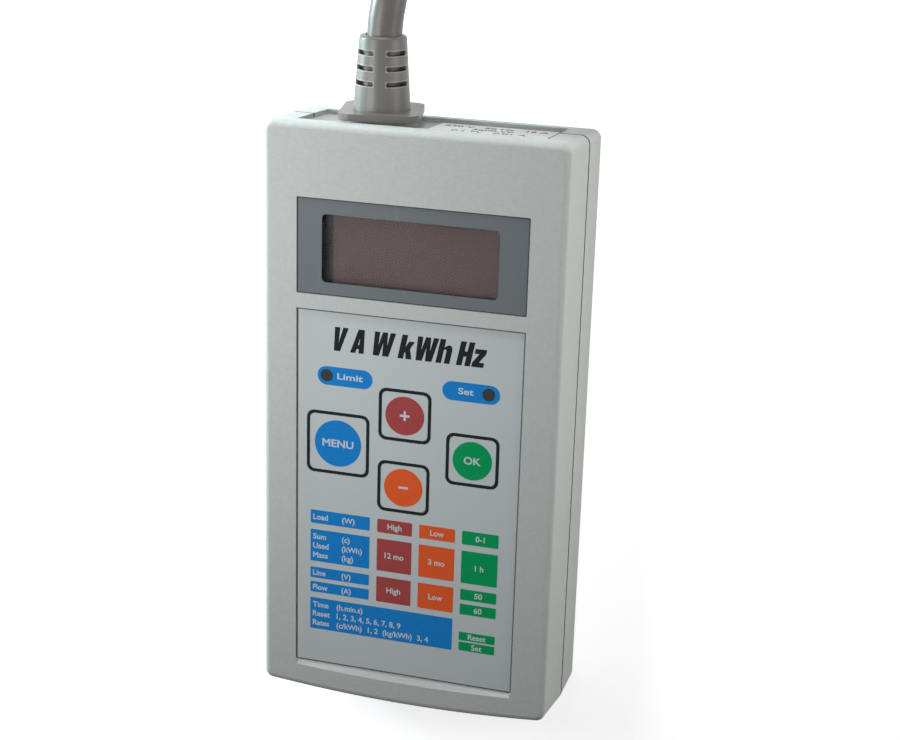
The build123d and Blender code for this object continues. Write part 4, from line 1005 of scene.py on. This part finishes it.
@dataclass
class Keypad:
    """Overlay film with its printed keys, lamps and heading."""

    keys: ClassVar[tuple[Key, ...]] = (
        Key(Body.MODE, "blue", 16.1 / 19.4, "MENU", 2.5 * MM, 10.6 * MM),
        Key(Body.PLUS, "red", 13.25 / 15.6),
        Key(Body.MINUS, "orange", 13.25 / 15.6),
        Key(Body.ENTER, "green", 13.25 / 15.6, "OK", 2.4 * MM, 5.6 * MM),
    )
    lamps: ClassVar[tuple[LampField, ...]] = (
        LampField("Limit", 1, 18.55 * MM, 3.1 * MM, 3.6 * MM, 8.6 * MM),
        LampField("Set", -1, 18.8 * MM, 3.7 * MM, -9.9 * MM, 5.0 * MM),
    )
    line_width: float = 1.05 * MM
    line_gap: float = 0.05 * MM
    outline_radius: float = 2.6 * MM
    sign_length: float = 3.3 * MM
    sign_width: float = 0.75 * MM
    lamp_height: float = 6.25 * MM
    lamp_gap: float = 0.05 * MM
    lamp_edge_steps: int = 12
    lamp_text: float = 2.0 * MM
    lamp_text_drop: float = 0.8 * MM

    def build(self) -> None:
        """Dress the film and lay down its print."""
        names = [key.name for key in self.keys]
        dress(Palette.film, "overlay_film", *("key_" + name for name in names))
        dress(Palette.white_plastic, *("plunger_" + name for name in names))
        dress(Palette.lamp_window, "lamp_windows")
        dress(Palette.lamp, "status_lamps")
        self.print_key_lines()
        for key in self.keys:
            self.print_key(key)
        self.print_lamp_fields()
        self.print_heading()

    def print_key_lines(self) -> None:
        """Lay the black outlines round the keys."""
        mesh = bmesh.new()
        for key in self.keys:
            centre, side = key.square()
            inner = side + 2 * self.line_gap
            outer = inner + 2 * self.line_width
            hole = rounded_outline(inner, inner, self.outline_radius - self.line_width, centre)
            add_ink(mesh, rounded_outline(outer, outer, self.outline_radius, centre), *ink_heights(), hole)
        add_piece("key_lines", mesh, Palette.ink_black)

    def print_key(self, key: Key) -> None:
        """Lay the coloured disc and the sign of one key.

        Args:
            key: The key.
        """
        centre, side = key.square()
        diameter = side * key.disc_share
        disc = bmesh.new()
        add_ink(disc, rounded_outline(diameter, diameter, diameter / 2 - HAIR, centre), *ink_heights())
        add_piece(f"disc_{key.name}", disc, Palette.inks[key.colour], key.body)
        sign = bmesh.new()
        if key.word:
            x, y = centre
            Word(
                key.word, x, y - key.word_height / 2, key.word_height, Align.CENTRE, key.word_width
            ).add_to(sign, *ink_heights(2))
        else:
            self.draw_sign(sign, centre, key.body is Body.PLUS)
        add_piece(f"sign_{key.name}", sign, Palette.ink_pale, body=key.body)

    def draw_sign(self, mesh: BMesh, centre: Span, crossed: bool) -> None:
        """Draw a minus sign, or a plus sign from a bar and two arms.

        Args:
            mesh: Mesh that takes the sign.
            centre: Middle of the sign.
            crossed: Whether it is a plus sign.
        """
        arm = (self.sign_length - self.sign_width) / 2
        bars = [(self.sign_length, self.sign_width, 0)]
        if crossed:
            bars += [(self.sign_width, arm, way * (self.sign_width + arm) / 2) for way in (-1, 1)]
        for width, height, offset in bars:
            place = (centre[0], centre[1] + offset)
            add_ink(mesh, rounded_outline(width, height, self.sign_width / 4, place), *ink_heights(2))

    def print_lamp_fields(self) -> None:
        """Lay the blue field round each lamp, with its word."""
        low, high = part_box("lamp_windows")
        y = (low.y + high.y) / 2
        radius = (high.y - low.y) / 2
        fields = bmesh.new()
        words = bmesh.new()
        for lamp, x in zip(self.lamps, (low.x + radius, high.x - radius)):
            middle = (x + lamp.way * (lamp.width / 2 - lamp.overhang), y)
            outer = rounded_outline(
                lamp.width, self.lamp_height, self.lamp_height / 2 - HAIR, middle, self.lamp_edge_steps
            )
            centre = Vector((x, y, 0))
            hole = [centre + (point - centre).normalized() * (radius + self.lamp_gap) for point in outer]
            add_ink(fields, outer, *ink_heights(), hole)
            Word(
                lamp.word, x + lamp.word_start, y - self.lamp_text_drop, self.lamp_text, Align.LEFT,
                lamp.word_width,
            ).add_to(words, *ink_heights(2))
        add_piece("lamp_fields", fields, Palette.inks["blue"])
        add_piece("lamp_words", words, Palette.ink_pale)

    def print_heading(self) -> None:
        """Lay the heading: plain units of what the meter reads."""
        mesh = bmesh.new()
        heading = Heading("V A W kWh Hz", x=-26.2 * MM, y=24.9 * MM, height=7.9 * MM, width=51.9 * MM)
        heading.add_to(mesh, *ink_heights())
        add_piece("heading", mesh, Palette.ink_black)


@dataclass
class Legend:
    """Coloured fields at the foot of the film, with plain quantities, numbers and units."""

    columns: ClassVar[tuple[Column, ...]] = (
        Column("blue", -32.5 * MM, -12.05 * MM, {
            "first": ("Load|(W)",), "second": ("Sum|(c)", "Used|(kWh)", "Mass|(kg)"),
            "third": ("Line|(V)",), "fourth": ("Flow|(A)",),
        }, 10.9 * MM),
        Column("blue", -32.5 * MM, 16.85 * MM, {
            "wide": (
                "Time|(h.min.s)", "Reset|1, 2, 3, 4, 5, 6, 7, 8, 9", "Rates|(c/kWh)  1, 2  (kg/kWh)  3, 4",
            ),
        }, 9.3 * MM),
        Column("red", -9.5 * MM, 2.35 * MM, {
            "first": ("High",), "second": ("12 mo",), "third fourth": ("High",),
        }),
        Column("orange", 4.75 * MM, 16.85 * MM, {
            "first": ("Low",), "second": ("3 mo",), "third fourth": ("Low",),
        }),
        Column("green", 19.15 * MM, 31.3 * MM, {
            "first": ("0-1",), "second": ("1 h",), "third": ("50",), "fourth": ("60",),
            "reset": ("Reset",), "set": ("Set",),
        }),
    )
    rows: ClassVar[dict[str, Span]] = {
        "first": (-30.5 * MM, -35.2 * MM),
        "second": (-37.4 * MM, -48.75 * MM),
        "third": (-50.9 * MM, -54.75 * MM),
        "fourth": (-56.15 * MM, -59.9 * MM),
        "wide": (-62.0 * MM, -73.3 * MM),
        "reset": (-66.2 * MM, -69.2 * MM),
        "set": (-69.8 * MM, -72.9 * MM),
    }
    corner_radius: float = 0.35 * MM
    text_height: float = 1.9 * MM
    line_pitch: float = 3.3 * MM
    word_start: float = 0.9 * MM

    def build(self) -> None:
        """Lay the fields, a piece for each colour, and the words as one piece."""
        words = bmesh.new()
        for colour, finish in Palette.inks.items():
            fields = bmesh.new()
            for column in self.columns:
                if column.ink == colour:
                    self.lay(column, fields, words)
            add_piece(f"legend_{colour}", fields, finish)
        add_piece("legend_words", words, Palette.ink_pale)

    def lay(self, column: Column, fields: BMesh, words: BMesh) -> None:
        """Lay the fields of a column and the words on them.

        Args:
            column: The column.
            fields: Mesh that takes the fields.
            words: Mesh that takes the words.
        """
        x = (column.left + column.right) / 2
        for span, lines in column.fields.items():
            names = span.split()
            top, bottom = self.rows[names[0]][0], self.rows[names[-1]][1]
            size = (column.right - column.left, top - bottom)
            y = (top + bottom) / 2
            add_ink(fields, rounded_outline(*size, self.corner_radius, (x, y)), *ink_heights())
            foot = y + self.line_pitch * (len(lines) - 1) / 2 - self.text_height / 2
            for line in lines:
                word, _, sign = line.partition("|")
                parts = [(word, x, Align.CENTRE)]
                if sign:
                    parts = [(word, column.left + self.word_start, Align.LEFT)]
                    parts.append((sign, column.left + column.sign_start, Align.LEFT))
                for text, place, align in parts:
                    Word(text, place, foot, self.text_height, align).add_to(words, *ink_heights(2))
                foot -= self.line_pitch


def ease(share: float) -> float:
    """Swing smoothly from 0 to 1 while the share goes from 0 to 1."""
    return (1 - cos(pi * share)) / 2


@dataclass
class MainsCord:
    """Thick cord: its route to the coil, the turns of the coil, and what is on it."""

    radius: float = 5.5 * MM
    route: tuple[Point, ...] = (
        (-0.017, 0.0973, 0.020),
        (-0.017, 0.124, 0.020),
        (-0.0146, 0.136, 0.020),
        (-0.0140, 0.168, 0.0124),
        (-0.0135, 0.199, 0.0065),
        (-0.0135, 0.215, 0.0065),
    )
    coil_radius: float = 58 * MM
    coil_pitch: float = 12 * MM
    coil_layer_step: float = 11.6 * MM
    coil_layer_turns: float = 1.25
    tail_turns: float = 0.5
    tail_bulge: float = 2 * MM
    tail_radius: float = 52 * MM
    tail_climb: float = 24.1 * MM
    points_per_turn: int = 24
    length: float = 1.254

    def __post_init__(self) -> None:
        """Work out where the coil lies."""
        self.straight = 2 * self.radius
        self.outer = self.coil_radius + self.coil_pitch * self.coil_layer_turns / 2
        self.inner = self.outer - self.coil_pitch * self.coil_layer_turns
        self.wound = 2 * self.coil_layer_turns
        self.turns = self.wound + self.tail_turns
        self.centre = Vector(self.route[-1]) + Vector((self.outer, self.straight, 0))

    def coil_point(self, turn: float) -> Vector:
        """Middle of the cord after so many turns of the coil.

        Args:
            turn: Turns from the coil's start.

        Returns:
            The point.
        """
        tail = max(turn - self.wound, 0) / self.tail_turns
        if tail == 0:
            radius = self.inner + self.coil_pitch * abs(turn - self.coil_layer_turns)
        elif tail < 1 / 2:
            radius = self.outer + self.tail_bulge * ease(2 * tail)
        else:
            radius = self.tail_radius + (self.outer + self.tail_bulge - self.tail_radius) * ease(2 * tail)
        layer = min(max(2 * (turn - self.coil_layer_turns) + 1 / 2, 0), 1)
        climb = self.coil_layer_step * ease(layer) + self.tail_climb * ease(tail)
        angle = pi - 2 * pi * turn
        return self.centre + Vector((radius * cos(angle), radius * sin(angle), climb))

    def points(self) -> list[Vector]:
        """Control points of the cord, from the case to the plug.

        Returns:
            The points.
        """
        count = round(self.turns * self.points_per_turn)
        coil = [self.coil_point(index / self.points_per_turn) for index in range(count + 1)]
        end = coil[-1] + Vector((0, self.straight, 0))
        return [Vector(point) for point in self.route] + coil + [end]

    def spline(self) -> bpy.types.Curve:
        """Draw the cord as one round spline.

        Returns:
            The curve, with the sheath's finish.
        """
        curve = bpy.data.curves.new("mains_cord", "CURVE")
        curve.dimensions = "3D"
        curve.bevel_depth = self.radius
        curve.bevel_resolution = 8
        curve.resolution_u = 6
        curve.use_fill_caps = True
        spline = curve.splines.new("NURBS")
        places = self.points()
        spline.points.add(len(places) - 1)
        for point, place in zip(spline.points, places):
            point.co = (*place, 1.0)
        spline.order_u = 3
        spline.use_endpoint_u = True
        curve.materials.append(Palette.sheath.build())
        logger.info("piece mains_cord: %d points", len(places))
        return curve

    def build(self) -> None:
        """Lay the cord, and dress what is on it."""
        dress(Palette.relief, "strain_relief", "plug_body")
        dress(Palette.brass, "plug_pins", "socket_contacts")
        dress(Palette.tie, "cord_tie")
        dress(Palette.sheath, "cord_sheath_end")
        dress(Palette.cores, "cord_cores")
        piece = add_object("mains_cord", self.spline())
        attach(piece, Body.CASE.value)
        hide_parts("cord_stretch", "cord_coil")


@dataclass
class Fittings:
    """Display, boards, switches, transformer and wiring, by the finish they wear."""

    worn: ClassVar[tuple[tuple[Finish, str], ...]] = (
        (Palette.plate, "display_plate"),
        (Palette.window, "window_pane"),
        (Palette.black_metal, "lcd_frame"),
        (Palette.lcd, "lcd_glass"),
        (Palette.white_plastic, "lcd_diffuser lcd_spacers cord_clamp"),
        (Palette.board, "lcd_board main_board power_board"),
        (Palette.black_plastic, "lcd_pin_header tact_switches microcontroller memory_chip main_header"),
        (Palette.black_plastic, "power_header rectifier regulator measuring_chip"),
        (Palette.steel, "crystal main_board_screws power_board_screws terminal_screws clamp_screws"),
        (Palette.steel, "relief_clip"),
        (Palette.ribbon, "ribbon_cable"),
        (Palette.laminations, "transformer_core"),
        (Palette.winding, "transformer_winding"),
        (Palette.sleeve, "smoothing_capacitors"),
        (Palette.copper, "current_shunt"),
        (Palette.resistor, "sense_resistors"),
        (Palette.varistor, "varistor"),
        (Palette.fuse_glass, "fuse"),
        (Palette.brass, "fuse_clips"),
        (Palette.terminal, "terminal_block"),
    )

    def build(self) -> None:
        """Dress the nodes."""
        for finish, names in self.worn:
            dress(finish, *names.split())


@dataclass(frozen=True)
class Softbox:
    """Square area lamp that looks at a point."""

    name: str
    place: Point
    target: Point
    size: float
    power: float
    tint: Point

    def build(self) -> None:
        """Hang the lamp."""
        data = bpy.data.lights.new(self.name, "AREA")
        data.size = self.size
        data.energy = self.power
        data.color = self.tint
        lamp = add_object(self.name, data)
        lamp.location = self.place
        way = Vector(self.target) - Vector(self.place)
        lamp.rotation_euler = way.to_track_quat("-Z", "Y").to_euler()


@dataclass
class Studio:
    """Floor, lamps, world light and camera."""

    floor_half: float = 2.5
    floor_shades: Span = (0.86, 0.9)
    floor_grain: float = 400.0
    floor_roughness: float = 0.8
    floor_specular: float = 0.1
    floor_glow: float = 0.75
    camera_place: Point = (0.1618, 0.20074, 0.56187)
    camera_degrees: Point = (-17.6862, 16.3961, 1.6819)
    camera_lens: float = 73.12
    camera_sensor: float = 36.0
    camera_near: float = 0.01
    world_colour: Colour = (0.93, 0.97, 1.0, 1.0)
    world_strength: float = 0.05
    lamps: tuple[Softbox, ...] = (
        Softbox("key_lamp", (-0.14, 0.082, 0.25), (0.0, 0.02, 0.03), 0.12, 0.44, (0.98, 0.99, 1.0)),
        Softbox("end_lamp", (0.0, 0.44, 0.07), (0.0, 0.1, 0.02), 0.2, 1.25, (0.97, 0.98, 1.0)),
        Softbox("side_lamp", (0.30, 0.105, 0.065), (0.05, 0.0, 0.02), 0.2, 0.5, (0.99, 1.0, 0.96)),
        Softbox("left_lamp", (-0.38, 0.175, 0.03), (-0.02, 0.11, 0.02), 0.1, 3.0, (0.70, 0.91, 1.0)),
    )

    def build(self) -> None:
        """Set up the studio."""
        self.lay_floor()
        self.light_world()
        for lamp in self.lamps:
            lamp.build()
        self.place_camera()

    def lay_floor(self) -> None:
        """Lay the pale floor that the object rests on."""
        mesh = bpy.data.meshes.new("floor")
        half = self.floor_half
        corners = [(-half, -half, 0), (half, -half, 0), (half, half, 0), (-half, half, 0)]
        mesh.from_pydata(corners, [], [(0, 1, 2, 3)])
        mesh.materials.append(self.floor_material())
        add_object("floor", mesh)

    def floor_material(self) -> bpy.types.Material:
        """Build the floor's pale matte finish, white where the camera sees it lit.

        Returns:
            The material.
        """
        material, sheet, shader = start_material("floor_pale")
        paper = sheet.noise(sheet.here(), self.floor_grain, detail=2.0)
        sheet.fill(shader, {
            "Base Color": sheet.ramp(paper, 0.0, 1.0, *self.floor_shades),
            "Roughness": self.floor_roughness,
            "Specular IOR Level": self.floor_specular,
            "Emission Color": WHITE,
            "Emission Strength": sheet.math("MULTIPLY", self.direct_rays(sheet), self.floor_glow),
        })
        return material

    def direct_rays(self, sheet: Sheet) -> Socket:
        """Mask the rays that see the background: from the camera, in gloss and through glass.

        Args:
            sheet: Tree of the floor's material or of the world.

        Returns:
            Socket that is 1 for those rays.
        """
        rays = sheet.add("LightPath").outputs
        gloss = sheet.math("MAXIMUM", rays["Is Camera Ray"], rays["Is Glossy Ray"])
        return sheet.math("MAXIMUM", gloss, rays["Is Transmission Ray"])

    def light_world(self) -> None:
        """Fill the world with even light, white where it is seen."""
        world = bpy.data.worlds.new("studio_air")
        world.use_nodes = True
        sheet = Sheet(world.node_tree)
        air = world.node_tree.nodes["Background"]
        sheet.fill(air, {"Color": self.world_colour, "Strength": self.world_strength})
        white = sheet.add("Background", {"Color": WHITE, "Strength": 1.0})
        mix = sheet.add(
            "MixShader", {0: self.direct_rays(sheet), 1: air.outputs[0], 2: white.outputs[0]}
        )
        sheet.fill(world.node_tree.nodes["World Output"], {"Surface": mix.outputs[0]})
        bpy.context.scene.world = world

    def place_camera(self) -> None:
        """Put the camera where the photograph was taken."""
        data = bpy.data.cameras.new("camera")
        data.sensor_fit = "HORIZONTAL"
        data.sensor_width = self.camera_sensor
        data.lens = self.camera_lens
        data.clip_start = self.camera_near
        camera = add_object("camera", data)
        camera.location = self.camera_place
        camera.rotation_euler = [radians(angle) for angle in self.camera_degrees]
        bpy.context.scene.camera = camera


def main() -> None:
    """Build the object's looks and its studio."""
    logging.basicConfig(level=logging.INFO, format="%(name)s %(message)s")
    bpy.context.scene.view_settings.view_transform = "Standard"
    for part in (Case(), Fittings(), Keypad(), Legend(), MainsCord(), Studio()):
        part.build()
        logger.info("built %s", type(part).__name__)


if __name__ == "__main__":
    main()
